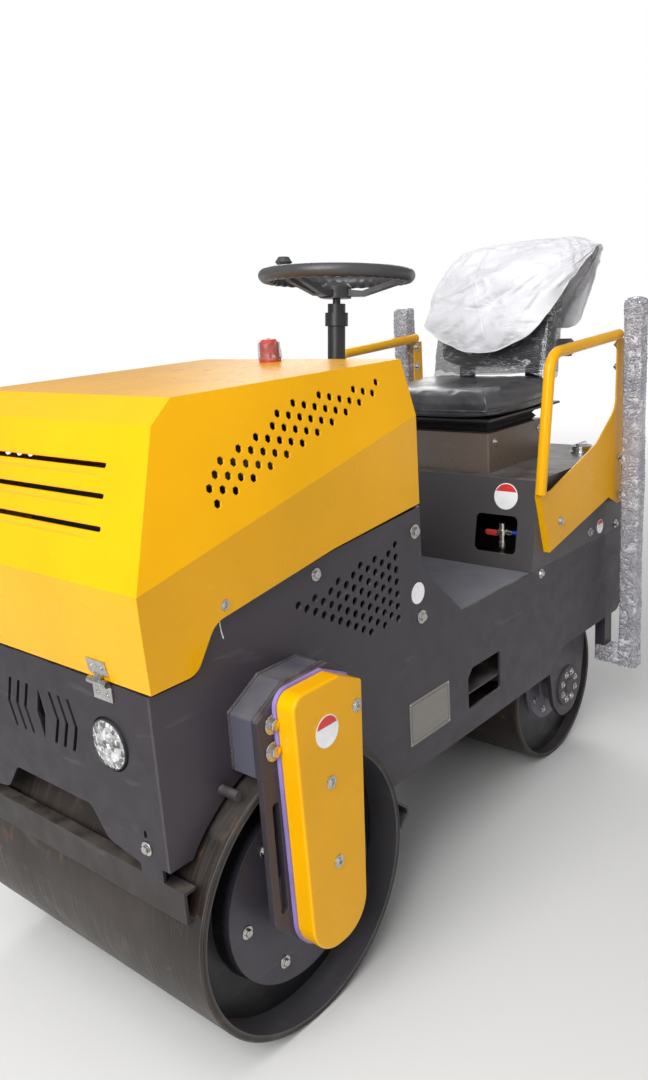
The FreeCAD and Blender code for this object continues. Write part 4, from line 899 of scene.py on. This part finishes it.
# %% Plate and discs
PLATE = (0.0315, 0.187, 0.389, 0.491)      # x from, x to, z from, z to on the left flank
DISCS = [
    # name, seat, radius, share of the height that is red
    ("flank_disc", on_side("side_plate_left", 0.137, 0.729), 0.0235, 0.0),
    ("rear_flank_disc", on_side("seat_base", -0.751, 0.6665), 0.020, 0.32),
    ("seat_front_disc", on_front("seat_base", 0.2326, 0.8205), 0.034, 0.32),
    ("belt_guard_disc", on_side("belt_guard", 0.586, 0.631), 0.030, 0.34),
]


def rounded_rectangle(width, height, radius, steps=5):
    """Corner points of a rounded rectangle about the origin, anticlockwise."""
    points = []
    for quarter, (sx, sz) in enumerate(((1, 1), (-1, 1), (-1, -1), (1, -1))):
        for k in range(steps + 1):
            a = math.radians(90 * quarter + 90 * k / steps)
            points.append((sx * (width / 2 - radius) + radius * math.cos(a),
                           sz * (height / 2 - radius) + radius * math.sin(a)))
    return points


def axes_on(normal):
    """Directions across, up and out of a face, seen from outside."""
    out = normal.normalized()
    across = Vector((0, 0, 1)).cross(out).normalized()
    return across, out.cross(across), out


def stacked_plate(name, spot, layers, *keys):
    """Flat closed layers on a face; a layer is (outline, height from, height to, material)."""
    place, normal = spot
    across, up, out = axes_on(normal)
    forms, which = [], []
    for rim, base, top, material in layers:
        count = len(rim)
        points = [place + across * u + up * v + out * height for height in (base, top) for u, v in rim]
        faces = grid_faces(2, count, ring_columns=True)
        faces += [[count + k for k in range(count)], [count - 1 - k for k in range(count)]]
        forms.append((points, faces))
        which += [material] * len(faces)
    plate = mesh_object(name, *merge(forms), *keys, smooth=False, body="chassis")
    plate.data.polygons.foreach_set("material_index", which)


for name, place_and_aim, radius, red in DISCS:
    layers = [([(radius * math.cos(a), radius * math.sin(a)) for a in around(48)], -0.0003, 0.0005, 0)]
    if red:
        level = radius * (1 - 2 * red)
        reach = math.acos(level / radius)
        angles = np.linspace(math.pi / 2 - reach, math.pi / 2 + reach, 20)
        segment = [(radius * 0.93 * math.cos(a), max(level, radius * 0.93 * math.sin(a))) for a in angles]
        layers.append((segment, 0.0004, 0.0008, 1))
    stacked_plate(name, place_and_aim, layers, "white_print", "red_print")

wide, tall = PLATE[1] - PLATE[0], PLATE[3] - PLATE[2]
place, normal = on_side("side_plate_left", (PLATE[0] + PLATE[1]) / 2, (PLATE[2] + PLATE[3]) / 2)
layers = [
    (rounded_rectangle(wide, tall, 0.004), -0.0004, 0.0010, 0),
    (rounded_rectangle(wide - 0.014, tall - 0.014, 0.002), 0.0008, 0.00115, 1),
    (rounded_rectangle(wide - 0.018, tall - 0.018, 0.002), 0.0008, 0.00125, 0),
]
stacked_plate("blank_data_plate", (place, normal), layers, "plate_alloy", "plate_print")
across, up, out = axes_on(normal)
rivets = [(place + across * (u * (wide / 2 - 0.0042)) + up * (v * (tall / 2 - 0.0042)) + out * 0.001, out, 0.0024, 0.0)
          for u in (-1, 1) for v in (-1, 1)]
set_on_points("plate_rivets", "chassis", "rivet", rivets)

# %% [markdown]
# ## Paint marks on the arm bolts
# The fitter who tightened the two front arm bolts drew a dab of yellow paint across each, from the head onto the
# plate. A dab is a small pillow whose edge is ragged.

# %% Two dabs of yellow paint
dabs = []
for x, z in ARM_BOLTS[:2]:
    place, _ = on_side("front_arm_left", x, z)
    points, faces = lathe([(0.0052, 0.0), (0.0056, 0.0020), (0.0040, 0.0030), (0.0014, 0.0034)], 14)
    shaped = []
    for k, (u, v, height) in enumerate(points):
        ragged = 1 + 0.22 * math.sin(2.3 * k % 14 + 9 * x)
        shaped.append(place + Vector((u * ragged - 0.0055, height + 0.0085, 1.2 * v * ragged + 0.001)))
    dabs.append((shaped, faces))
mesh_object("paint_marks", *merge(dabs), "yellow_paint", body="chassis")

# %% [markdown]
# ## Louvre lips
# Each of the three slots in the hood's front was pressed with a die, which leaves a soft lip below it. The lip follows
# the sloping face: lines are dropped on the hood from ahead, and the points are then raised along the face's direction
# by a half wave that dies out at both ends.

# %% Pressed lips at the hood's slots
LIP_HEIGHT, LIP_RISE = 0.011, 0.0034
LIP_ROWS, LIP_COLUMNS = 61, 7
LOUVRES = ((0.098, 0.218), (0.142, 0.232), (0.188, 0.246))      # below the hood's top, half length
hood_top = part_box("hood")[1].z
lips = []
for drop, half in LOUVRES:
    for way, tall, bold in ((-1, 1.0, 1.0), (1, 0.55, 0.45)):
        offsets = np.linspace(0.0048, 0.0048 + LIP_HEIGHT * tall, LIP_COLUMNS)
        points = []
        for y in np.linspace(-half, half, LIP_ROWS):
            fade = math.sqrt(max(0.0, 1 - (abs(y) / half) ** 10))
            for row, offset in enumerate(offsets):
                place, normal = on_front("hood", y * 0.998, hood_top - drop + way * offset)
                wave = math.sin(math.pi * (0.12 + 0.88 * row / 6)) if row < 6 else 0.0
                points.append(place + normal * (LIP_RISE * bold * fade * wave - 0.0001))
        lips.append((points, [face[::-way] for face in grid_faces(LIP_ROWS, LIP_COLUMNS)]))
mesh_object("louvre_lips", *merge(lips), "yellow_paint", body="hood")

# %% [markdown]
# ## Work lamps
# Each lamp is a black can with a thin rolled rim, a bright bowl and a lens. The lens is a shallow dome whose inside
# carries a grid of pillows, about 9 mm across, which break up the light. The dome and the bowl are turned forms, drawn
# as polar grids about the lamp's axis.

# %% Two lamps with pillowed lenses
LAMP_RINGS, LAMP_SPOKES = 26, 84
PILLOW = 0.0088
BLACK, CLEAR, BRIGHT = 0, 1, 2
lamp_low, lamp_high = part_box("headlamps")
lamp_half = (lamp_high.z - lamp_low.z) / 2
lamp_z = (lamp_low.z + lamp_high.z) / 2
panel_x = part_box("front_panel")[1].x
reach = lamp_half - 0.010
CAN = [
    (reach - 0.014, -0.050), (reach - 0.012, -0.046), (reach - 0.010, -0.034), (reach, -0.030), (reach, 0.0030),
    (reach - 0.0006, 0.0046), (reach - 0.0014, 0.0048), (reach - 0.0022, 0.0038), (reach - 0.0024, -0.020),
    (0.006, -0.0275),
]
FLANGE = [(reach - 0.002, -0.011), (reach + 0.009, -0.011), (reach + 0.010, -0.0065), (reach - 0.002, -0.0062)]
BULB = [(0.004, -0.024), (0.006, -0.018), (0.006, -0.010), (0.003, -0.006)]


def polar(height):
    """A disc of rings about the lamp's axis with a height for each (radius, across, up)."""
    points = []
    for ring in range(LAMP_RINGS):
        radius = (reach - 0.0024) * max(ring, 0.02) / (LAMP_RINGS - 1)
        for a in around(LAMP_SPOKES):
            u, v = radius * math.cos(a), radius * math.sin(a)
            points.append((u, v, height(radius, u, v)))
    return points, grid_faces(LAMP_RINGS, LAMP_SPOKES, ring_columns=True)


def lens_height(radius, u, v):
    pillow = abs(math.sin(math.pi * u / PILLOW)) * abs(math.sin(math.pi * v / PILLOW))
    return 0.0078 - 0.0062 * (radius / reach) ** 2 + 0.0011 * pillow ** 0.6


def bowl_height(radius, u, v):
    flute = 0.0009 * math.sin(14 * math.atan2(v, u)) * min(1.0, radius / 0.02)
    return -0.024 + 0.020 * (radius / reach) ** 2 + flute


forms, which = [], []
lamp = [(lathe(CAN, 72), BLACK), (lathe(FLANGE, 72), BLACK), (polar(bowl_height), BRIGHT), (lathe(BULB, 24), BRIGHT),
        (polar(lens_height), CLEAR)]
for y in (lamp_high.y - lamp_half, lamp_half - lamp_high.y):
    for (points, faces), material in lamp:
        forms.append(([(panel_x + height, y + u, lamp_z + v) for u, v, height in points], faces))
        which += [material] * len(faces)
lamps = mesh_object("work_lamps", *merge(forms), "lamp_ring", "lamp", "chrome")
lamps.data.polygons.foreach_set("material_index", which)
stand_in(lamps, "headlamps")
print("lamps:", len(which), "faces")

# %% [markdown]
# ## Steering wheel rim
# The rim is moulded round a steel ring, with finger grips on the side towards the operator's fingers, below and
# inside. The grips are a wave along the rim that only shows on that side.

# %% Rim with finger grips
RIM_REACH, RIM_TUBE, GRIP_RISE = 0.166, 0.0146, 0.0022
GRIPS, RIM_ROWS, RIM_COLUMNS = 40, 360, 22
wheel_axis = Vector(joints["steering_wheel_turn"]["axis"]).normalized()
wheel_centre = joint_place["steering_wheel_turn"]
across = wheel_axis.cross(Vector((0, 1, 0))).normalized()
beside = wheel_axis.cross(across)
points = []
for a in around(RIM_ROWS):
    outward = across * math.cos(a) + beside * math.sin(a)
    wave = 0.5 + 0.5 * math.cos(GRIPS * a)
    for b in around(RIM_COLUMNS):
        tube = RIM_TUBE + GRIP_RISE * wave * max(0.0, math.cos(b - math.radians(225)))
        points.append(wheel_centre + outward * (RIM_REACH + tube * math.cos(b)) + wheel_axis * (tube * math.sin(b)))
mesh_object("wheel_rim_grips", points, grid_faces(RIM_ROWS, RIM_COLUMNS, True, True), "black_plastic",
            body="steering_wheel")

# %% [markdown]
# ## Seat
# The seat is foam under vinyl. A pad starts as a rounded block whose faces are already crowned. It is remeshed into
# even squares and blown up a little by the cloth solver, which gives the faces their tight, slightly uneven swell.
# The move is capped, so the pad keeps its size. Piping is sewn on afterwards along the line where top and side meet.

# %% A pad blown up by the cloth solver
VOXEL = 0.0065
SOLVE_FRAMES = 20
DIMPLE = 0.0011


def rounded_block(name, half, rounding, crown, top_rounding=None):
    """A closed block with rounded corners in plan and crowned faces; sizes are halves."""
    bm = bmesh.new()
    bmesh.ops.create_cube(bm, size=2.0)
    bmesh.ops.subdivide_edges(bm, edges=bm.edges[:], cuts=19, use_grid_fill=True)
    for vert in bm.verts:
        u, v, w = vert.co
        q = rounding
        if top_rounding is not None:
            q = rounding + (top_rounding - rounding) * max(0.0, w)
        plan_u = u * math.sqrt(1 - q * v * v / 2)
        plan_v = v * math.sqrt(1 - q * u * u / 2)
        if top_rounding is not None:
            lifted = max(0.0, w) ** 2
            plan_v = v * math.sqrt(1 - 0.62 * lifted * lifted)
            w = w * math.sqrt(1 - 0.30 * v * v * (1 if w > 0 else 0.2))
        side = 1 - 0.07 * w * w
        swell = 1 - crown * (0.5 * abs(u) ** 5 + 0.5 * abs(v) ** 5)
        vert.co = (half[0] * plan_u * side, half[1] * plan_v * side, half[2] * w * swell)
    return linked(name, mesh_of(name, bm))


def solve_cloth(obj, cap, pinned=None, **settings):
    """Runs the cloth solver, then limits how far any point has moved."""
    start = vertex_array(obj.data)
    cloth = obj.modifiers.new("cloth", "CLOTH")
    cloth.settings.effector_weights.gravity = 0.0
    for key, value in {"quality": 6, **settings}.items():
        setattr(cloth.settings, key, value)
    if pinned is not None:
        group = obj.vertex_groups.new(name="held")
        for index, weight in enumerate(pinned):
            if weight > 0:
                group.add([index], float(weight), "REPLACE")
        cloth.settings.vertex_group_mass = "held"
    cloth.point_cache.frame_start, cloth.point_cache.frame_end = 1, SOLVE_FRAMES
    for frame_number in range(1, SOLVE_FRAMES + 1):
        scene.frame_set(frame_number)
    apply_all(obj)
    scene.frame_set(1)
    moved = vertex_array(obj.data) - start
    length = np.linalg.norm(moved, axis=1, keepdims=True)
    moved *= np.minimum(1.0, cap / np.maximum(length, 1e-9))
    write_vertices(obj.data, start + moved)
    obj.vertex_groups.clear()
    print(obj.name, "moved at most", round(float(np.minimum(length, cap).max()) * 1000, 1), "mm")


def pad(name, half, rounding, crown, placing, **more):
    """A foam pad in its final place, covered in vinyl."""
    obj = rounded_block(name, half, rounding, crown, **more)
    remesh = obj.modifiers.new("even", "REMESH")
    remesh.mode = "VOXEL"
    remesh.voxel_size = VOXEL
    apply_all(obj)
    foot = np.clip((-vertex_array(obj.data)[:, 2] / half[2] - 0.55) * 3, 0, 1)
    solve_cloth(obj, 0.008, None if more else foot, use_pressure=True, uniform_pressure_force=4.0, mass=0.3,
                tension_stiffness=25.0, compression_stiffness=25.0, bending_stiffness=1.5)
    places = vertex_array(obj.data)
    dimples = ridges(places, 16.0, 3)[:, None]
    places = places + vertex_array(obj.data, "normal") * dimples * DIMPLE
    write_vertices(obj.data, places @ np.array(placing.to_3x3()).T + np.array(placing.translation))
    obj.data.shade_smooth()
    obj.data.materials.clear()
    obj.data.materials.append(finishes["black_vinyl"])
    return obj


low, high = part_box("seat_cushion")
half = (high - low) / 2
centre = (high + low) / 2
cushion = pad("seat_cushion_pad", (half.x - 0.004, half.y - 0.004, half.z - 0.003), 0.34, 0.20,
              Matrix.Translation(centre))
places = vertex_array(cushion.data)
x, y, z = places.T
ahead = np.clip((x - (high.x - 0.11)) / 0.11, 0, 1)
over = np.clip((z - centre.z) / half.z, 0, 1)
hollow = np.exp(-((x - centre.x + 0.02) / 0.13) ** 2 - (y / 0.13) ** 2)
places[:, 2] = np.maximum(z - 0.010 * ahead ** 2 * over - 0.009 * hollow * over, low.z + 0.0005)
write_vertices(cushion.data, places)
stand_in(cushion, "seat_cushion")

back_low, back_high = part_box("backrest")
back_rise = back_high.z - back_low.z
middle = Vector(((back_low.x + back_high.x) / 2 + 0.004, 0.010, (back_low.z + back_high.z) / 2))
placing = Matrix.Translation(middle) @ Matrix.Rotation(-math.atan2(0.066, back_rise), 4, "Y")
backrest = pad("backrest_pad", (0.036, 0.182, back_rise / 2 - 0.006), 0.30, 0.25, placing, top_rounding=0.9)
stand_in(backrest, "backrest")

# %% [markdown]
# Piping is a thin vinyl cord in the seam. Lines are dropped on the finished cushion from all round at one height, so
# the cord follows the real swell, and a tube is drawn along the points.

# %% Piping round the cushion
PIPING = 0.0028


def tube(name, line, radius, key, sides=8, closed=True, body="chassis"):
    """A tube along a list of points; the points are close together, so frames stay even."""
    rows = len(line)
    points = []
    for k in range(rows):
        after = line[(k + 1) % rows] if closed else line[min(k + 1, rows - 1)]
        before = line[k - 1] if closed else line[max(k - 1, 0)]
        along = (after - before).normalized()
        aside = along.cross(Vector((0.11, 0.07, 0.99))).normalized()
        above = aside.cross(along)
        points += [line[k] + (aside * math.cos(b) + above * math.sin(b)) * radius for b in around(sides)]
    return mesh_object(name, points, grid_faces(rows, sides, closed, True), key, body=body)


line = []
for a in around(240):
    out = Vector((math.cos(a) * 0.205, math.sin(a) * 0.22, 0)).normalized()
    found = strike(cushion, Vector((centre.x, centre.y, low.z + 0.024)) + out * 0.5, -out)
    if found:
        line.append(found[0] + found[1] * (PIPING * 0.35))
tube("cushion_piping", line, PIPING, "black_vinyl", 10)

# %% [markdown]
# ## Stretch film
# Clear film is wound round the backrest to keep it clean. It bridges hollows, so it lies a little outside the pad,
# and every layer leaves slanting creases. The band is a grid round the backrest whose points are pushed in and out by
# a seeded field of ridges that is stretched along the winding.

# %% Film round the backrest
FILM_LOW, FILM_HIGH = 1.094, 1.345
FILM_DIP = 0.095                    # the right side ends lower, so that it stays under the bag
FILM_ROWS, FILM_COLUMNS = 90, 260
WINDING = np.array([[1.0, 0.0, 0.3], [0.0, 0.28, 0.35], [0.0, -0.10, 1.25]])


def film_ring(height):
    """Centre and half sizes of the film's section at a height."""
    share = (height - back_low.z) / back_rise
    return back_low.x + 0.103 - 0.066 * share, 0.010, 0.044, 0.191 - 0.010 * share


def push_out(places, middles, amount):
    """Moves points away from their middles."""
    outward = places - middles
    outward /= np.linalg.norm(outward, axis=1, keepdims=True)
    return places + outward * amount[:, None]


points, middles = [], []
for i in range(FILM_ROWS):
    for a in around(FILM_COLUMNS):
        sag = 0.006 * math.sin(3 * a + 0.4) + 0.004 * math.sin(7 * a)
        top = FILM_HIGH - FILM_DIP * max(0.0, -math.sin(a))
        height = FILM_LOW + sag * (1 - i / FILM_ROWS) + (top - FILM_LOW) * i / (FILM_ROWS - 1)
        x, y, half_x, half_y = film_ring(height)
        c, s = math.cos(a), math.sin(a)
        points.append((x + half_x * math.copysign(abs(c) ** 0.45, c), y + half_y * math.copysign(abs(s) ** 0.30, s),
                       height))
        middles.append((x, y, height))
places = np.array(points)
creases = ridges(places @ WINDING.T, 46.0, 4, SEED + 3)
places = push_out(places, np.array(middles), 0.0030 * creases + 0.0015)
film = mesh_object("backrest_film", places, grid_faces(FILM_ROWS, FILM_COLUMNS, ring_columns=True), "stretch_film",
                   body="chassis")

# %% [markdown]
# ## Cloth bag
# The bag is a pillowcase that somebody pulled over the backrest askew. Its closed edge is a ridge on top, its left
# corner stands out beyond the seat, and from there the opening runs down in front, along the seat and back up behind.
# So two curves describe it: the ridge and the hem. The front and back sheets are stretched between them and bulge
# over the backrest. The cloth solver then lets the cloth grow by a few percent, and because it has nowhere to go it
# buckles into soft folds.

# %% Ridge and hem of the bag
TIP = (-0.824, 0.286, 1.436)
RIGHT_FOOT = (-0.752, -0.206, 1.236)
RIDGE = [
    # x, y, z from the right end to the left corner
    (-0.778, -0.123, 1.438), (-0.786, -0.049, 1.452), (-0.792, 0.052, 1.458), (-0.802, 0.150, 1.463),
    (-0.813, 0.229, 1.456), TIP,
]
FRONT_HEM = [
    RIGHT_FOOT, (-0.690, -0.196, 1.240), (-0.655, -0.150, 1.212), (-0.640, -0.075, 1.172),
    (-0.632, 0.010, 1.158), (-0.628, 0.080, 1.164), (-0.632, 0.135, 1.184), (-0.645, 0.182, 1.212),
    (-0.675, 0.210, 1.258), (-0.725, 0.234, 1.322), (-0.778, 0.258, 1.384), TIP,
]
BACK_HEM = [
    RIGHT_FOOT, (-0.812, -0.208, 1.222), (-0.852, -0.160, 1.205), (-0.856, -0.060, 1.198),
    (-0.864, 0.050, 1.200), (-0.866, 0.140, 1.205), (-0.866, 0.200, 1.214), (-0.868, 0.226, 1.254),
    (-0.868, 0.244, 1.305), (-0.856, 0.270, 1.370), (-0.840, 0.287, 1.410), TIP,
]
BAG_ACROSS, BAG_DOWN = 96, 60


def smooth_line(rows, count):
    """Evenly spaced points on a smooth curve through the rows."""
    rows = np.array(rows)
    ends = np.vstack([2 * rows[0] - rows[1], rows, 2 * rows[-1] - rows[-2]])
    fine = []
    for k in range(1, len(ends) - 2):
        before, first, second, after = ends[k - 1:k + 3]
        for t in np.linspace(0, 1, 24, endpoint=False):
            fine.append(0.5 * (2 * first + (second - before) * t + (2 * before - 5 * first + 4 * second - after) * t * t
                               + (3 * first - before - 3 * second + after) * t ** 3))
    fine = np.array([*fine, ends[-2]])
    steps = np.concatenate([[0], np.cumsum(np.linalg.norm(np.diff(fine, axis=0), axis=1))])
    even = np.linspace(0, steps[-1], count)
    return np.stack([np.interp(even, steps, fine[:, axis]) for axis in range(3)], axis=1)


def bag_sheet(hem, bulge):
    """Points from the ridge down to the hem, bulging forward or back."""
    top, foot = smooth_line(RIDGE, BAG_ACROSS), smooth_line(hem, BAG_ACROSS)
    wide = np.sin(np.linspace(0.12, math.pi - 0.05, BAG_ACROSS))
    rows = []
    for down in np.linspace(0, 1, BAG_DOWN):
        out = math.sin(math.pi / 2 * down) ** 0.75
        fall = 0.45 * (1 - math.cos(math.pi / 2 * down)) + 0.55 * down
        line = top + (foot - top) * np.array([out, down, fall])
        line[:, 0] += bulge * wide * abs(math.sin(math.pi * down)) ** 0.8
        line[:, 1] -= 0.014 * np.linspace(1, 0, BAG_ACROSS) ** 3 * math.sin(math.pi * down)
        rows.append(line)
    return np.array(rows)


front, back = bag_sheet(FRONT_HEM, 0.016), bag_sheet(BACK_HEM, -0.012)
# One loop: along the front from right to left, then back along the rear sheet
loop = np.concatenate([front, back[:, -2:0:-1]], axis=1)
bag = mesh_object("cloth_bag", loop.reshape(-1, 3), grid_faces(*loop.shape[:2], ring_columns=True), "white_cloth")
bm = bmesh.new()
bm.from_mesh(bag.data)
bmesh.ops.remove_doubles(bm, verts=bm.verts, dist=0.0004)
bmesh.ops.recalc_face_normals(bm, faces=bm.faces)
bm.to_mesh(bag.data)
bm.free()

# %% Folds in the bag


def gap_to(places, line):
    """How far each place is from the nearest point of a line."""
    return np.min(np.linalg.norm(places[:, None, :] - line[None], axis=2), axis=1)


places = vertex_array(bag.data)
hem_gap = gap_to(places, np.concatenate([smooth_line(FRONT_HEM, 160), smooth_line(BACK_HEM, 160)])[::2])
pull_x, pull_y, pull_z = (places - np.array([-0.80, 0.286, 1.436])).T
radial = np.stack([np.arctan2(pull_y, -pull_z) * 0.34, pull_z * 0.35, pull_x * 0.5], axis=1)
folds = ridges(radial, 26.0, 3, SEED + 11)
small = ridges(places, 30.0, 3, SEED + 12)
near_hem = np.exp(-(hem_gap / 0.05) ** 2)
amount = (0.0060 + 0.0044 * near_hem) * folds + (0.0030 + 0.0036 * near_hem) * small
write_vertices(bag.data, places + vertex_array(bag.data, "normal") * amount[:, None])
held = np.where(gap_to(places, smooth_line(RIDGE, 80)) < 0.012, 1.0, 0.0)
solve_cloth(bag, 0.012, held, shrink_min=-0.05, mass=0.12, tension_stiffness=12.0, compression_stiffness=12.0,
            shear_stiffness=6.0, bending_stiffness=0.35, air_damping=1.5)

bm = bmesh.new()
bm.from_mesh(bag.data)
follow = {}
for edge in bm.edges:
    if edge.is_boundary:
        one, other = edge.verts
        follow.setdefault(one, []).append(other)
        follow.setdefault(other, []).append(one)
start = min(follow, key=lambda vert: vert.co.z)
order, previous = [start], None
while True:
    onward = [vert for vert in follow[order[-1]] if vert != previous]
    previous = order[-1]
    if not onward or onward[0] == start:
        break
    order.append(onward[0])
hem_line = [vert.co.copy() for vert in order]
bm.free()
hem = tube("bag_hem", hem_line, 0.0017, "white_cloth", body=None)
thick = bag.modifiers.new("thick", "SOLIDIFY")
thick.thickness, thick.offset = 0.0011, 0.0
fine = bag.modifiers.new("fine", "SUBSURF")
fine.levels = fine.render_levels = 1
apply_all(bag)
bag.data.shade_smooth()
stand_in(bag, "cover_bag")
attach(hem, "chassis")

# A sewn tuck runs down the front sheet: lines are dropped on it from ahead.
line = []
for share in np.linspace(0, 1, 70):
    found = strike(bag, (-0.3, -0.038 + 0.072 * share, 1.437 - 0.235 * share), (-1, 0, 0))
    if found and found[0].x > -0.84:
        line.append(found[0] + found[1] * 0.0004)
seam = tube("bag_seam", line, 0.0022, "white_cloth", closed=False)

# %% [markdown]
# ## Bubble wrap on the posts
# The canopy posts are wound in bubble wrap for the journey. Each sleeve is a grid round the post: rows go up, columns
# go round a rounded square. The points are raised by small domes on a staggered lattice, then pushed about
# by folds that are stretched across the post, because the wrap is pulled tight round it. At the top it is folded over
# the post's end and crumpled. A short second sleeve covers the lug at its foot.

# %% Bubble wrap sleeves
BUBBLE_PITCH, BUBBLE_RISE = 0.0105, 0.0024
ROW_PITCH = BUBBLE_PITCH * 0.866
STEP = 0.0027
TUFT, CROWN = 0.034, 0.016         # film that is folded over the top, and how far it stands up there
LEAST, MOST, BULGE = -0.0018, 0.0042, 0.0050     # how far folds may push the film in, out, and out on the free sides
WRAP_COLUMNS, FOOT_ROWS, FOOT_OVERLAP = 88, 34, 0.010
wrap_low, wrap_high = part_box("post_wrap_left")
post_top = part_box("posts")[1].z


def square_ring(half, radius, count):
    """Evenly spaced points and outward directions round a rounded square."""
    straight = 2 * (half - radius)
    side = straight + math.pi / 2 * radius
    rows = []
    for k in range(count):
        along = 4 * side * k / count
        quarter, rest = int(along // side), along % side
        if rest < straight:
            u, v, a = half, -straight / 2 + rest, 0.0
        else:
            a = (rest - straight) / radius
            u, v = half - radius + radius * math.cos(a), straight / 2 + radius * math.sin(a)
        c, s = math.cos(quarter * math.pi / 2), math.sin(quarter * math.pi / 2)
        nu, nv = math.cos(a), math.sin(a)
        rows.append((u * c - v * s, u * s + v * c, nu * c - nv * s, nu * s + nv * c, along))
    return np.array(rows)


def bubbles(along, up):
    """Height of the domes at a place on the flat film."""
    row = np.round(up / ROW_PITCH)
    column = along / BUBBLE_PITCH - (row % 2) * 0.5
    du = (column - np.round(column)) * BUBBLE_PITCH
    dv = up - row * ROW_PITCH
    near = np.clip(1 - (du * du + dv * dv) / (0.44 * BUBBLE_PITCH) ** 2, 0, 1)
    return BUBBLE_RISE * np.sqrt(near)


def table(*columns):
    """Values of a table, which may each be one row or one column of it, as a list of points."""
    return np.stack(np.broadcast_arrays(*columns), axis=2).reshape(-1, len(columns))


def sleeve(side):
    """Points and faces of one wrapped post with its foot."""
    outside = (wrap_high.x - wrap_low.x) / 2
    half = outside - 0.0042
    middle_x, middle_y = (wrap_low.x + wrap_high.x) / 2, wrap_high.y - outside
    u, v, out_u, out_v, along = square_ring(half, 0.008, WRAP_COLUMNS).T
    height = post_top + TUFT - wrap_low.z
    count = int(height / STEP)
    seed = SEED + 20 + side
    up = np.linspace(0, height, count)[:, None]
    rise = bubbles(along + 0.25 * up, up - 0.12 * along)
    folded = table(u, v, up) * np.array([1.0, 1.0, 0.9])
    folds = ridges(folded, 42.0, 4, seed).reshape(count, -1)
    waves = ridges(folded * np.array([0.4, 0.4, 1.0]), 11.0, 2, seed + 5).reshape(count, -1)
    body = post_top - wrap_low.z - 0.001
    top = np.clip((up - body) / (TUFT - 0.002), 0, 1)
    near_top = np.exp(-((up - body) / 0.020) ** 2)
    out = rise + 0.0030 * folds + 0.0034 * waves + 0.0030 * near_top * folds
    out = np.clip(out, LEAST, MOST + BULGE * np.clip(out_v + 0.4, 0, 1))
    shrink = 1 - 0.97 * top ** 2.0
    z = wrap_low.z + 0.003 + np.minimum(up, body) + CROWN * (1 - (1 - top) ** 2) + 0.009 * top * (1 - top) * folds
    points = table(middle_x + (u + out_u * out) * shrink, middle_y + (v + out_v * out) * shrink, z)
    faces = grid_faces(count, WRAP_COLUMNS, ring_columns=True)

    inward = np.linspace(0, middle_y - half - wrap_low.y + FOOT_OVERLAP, FOOT_ROWS)[:, None]
    folds = ridges(table(u, v, inward), 44.0, 3, seed + 9).reshape(FOOT_ROWS, -1)
    wrap = np.minimum(bubbles(along, inward) + 0.0022 * folds, 0.004)
    foot = table(middle_x + u + out_u * wrap, middle_y - half + FOOT_OVERLAP - inward,
                 wrap_low.z + outside + v + out_v * wrap)
    foot_faces = grid_faces(FOOT_ROWS, WRAP_COLUMNS, ring_columns=True, first=len(points))
    faces += [face[::-1] for face in foot_faces]
    points = np.concatenate([points, foot]) * np.array([1, side, 1])
    return points, [face[::side] for face in faces]


for side, node in ((1, "post_wrap_left"), (-1, "post_wrap_right")):
    wrap = mesh_object(node + "_film", *sleeve(side), "bubble_wrap")
    stand_in(wrap, node)
    tall = wrap_high.z - wrap_low.z

# %% [markdown]
# ## Small soft things
# The red cap on the hood is still under a twist of film, and the water valve's lever is dipped in red plastic. A pale
# run of paint hangs below the hood's latch bolt.

# %% Film on the red cap, the red lever and the run of paint
CAP_ROWS, CAP_COLUMNS = 30, 72
GRIP_ROWS, GRIP_COLUMNS = 16, 14
VALVE_Y = 0.215
cap_low, cap_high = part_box("red_cap")
cap_middle = np.array([(cap_low.x + cap_high.x) / 2, (cap_low.y + cap_high.y) / 2, cap_low.z])
points = []
for share in np.linspace(0, 1, CAP_ROWS):
    radius = 0.0265 - 0.004 * share - 0.020 * max(0.0, share - 0.8) / 0.2
    points += [(radius * math.cos(a), radius * math.sin(a), 0.004 + 0.0465 * share) for a in around(CAP_COLUMNS)]
places = np.array(points) + cap_middle
middles = places * np.array([0, 0, 1]) + cap_middle * np.array([1, 1, 0])
places = push_out(places, middles, 0.0022 * ridges(places, 120.0, 4, SEED + 31) + 0.0012)
cap_film = mesh_object("cap_film", places, grid_faces(CAP_ROWS, CAP_COLUMNS, ring_columns=True), "cap_film",
                       body="hood")

tip = seat("water_valve", (0.2, VALVE_Y - 0.030, 0.7215), (-1, 0, 0))[0]
points = []
for share in np.linspace(0, 1, GRIP_ROWS):
    blunt = max(0.2, math.sqrt(1 - (1 - min(1.0, share * 4)) ** 2))
    for b in around(GRIP_COLUMNS):
        u, v = (math.copysign(abs(part) ** 0.6, part) * blunt for part in (math.cos(b), math.sin(b)))
        points.append((tip.x - 0.002 + 0.0034 * u, VALVE_Y - 0.044 + 0.036 * share, tip.z - 0.0005 + 0.0078 * v))
mesh_object("valve_lever_grip", points, grid_faces(GRIP_ROWS, GRIP_COLUMNS, ring_columns=True), "red_plastic",
            body="chassis")

line = []
for share in np.linspace(0, 1, 24):
    place, normal = on_side("side_plate_left", 0.700 - 0.005 * share ** 2, 0.847 - 0.033 * share)
    line.append(place + normal * 0.0004)
tube("latch_paint_run", line, 0.0011, "white_print", closed=False)
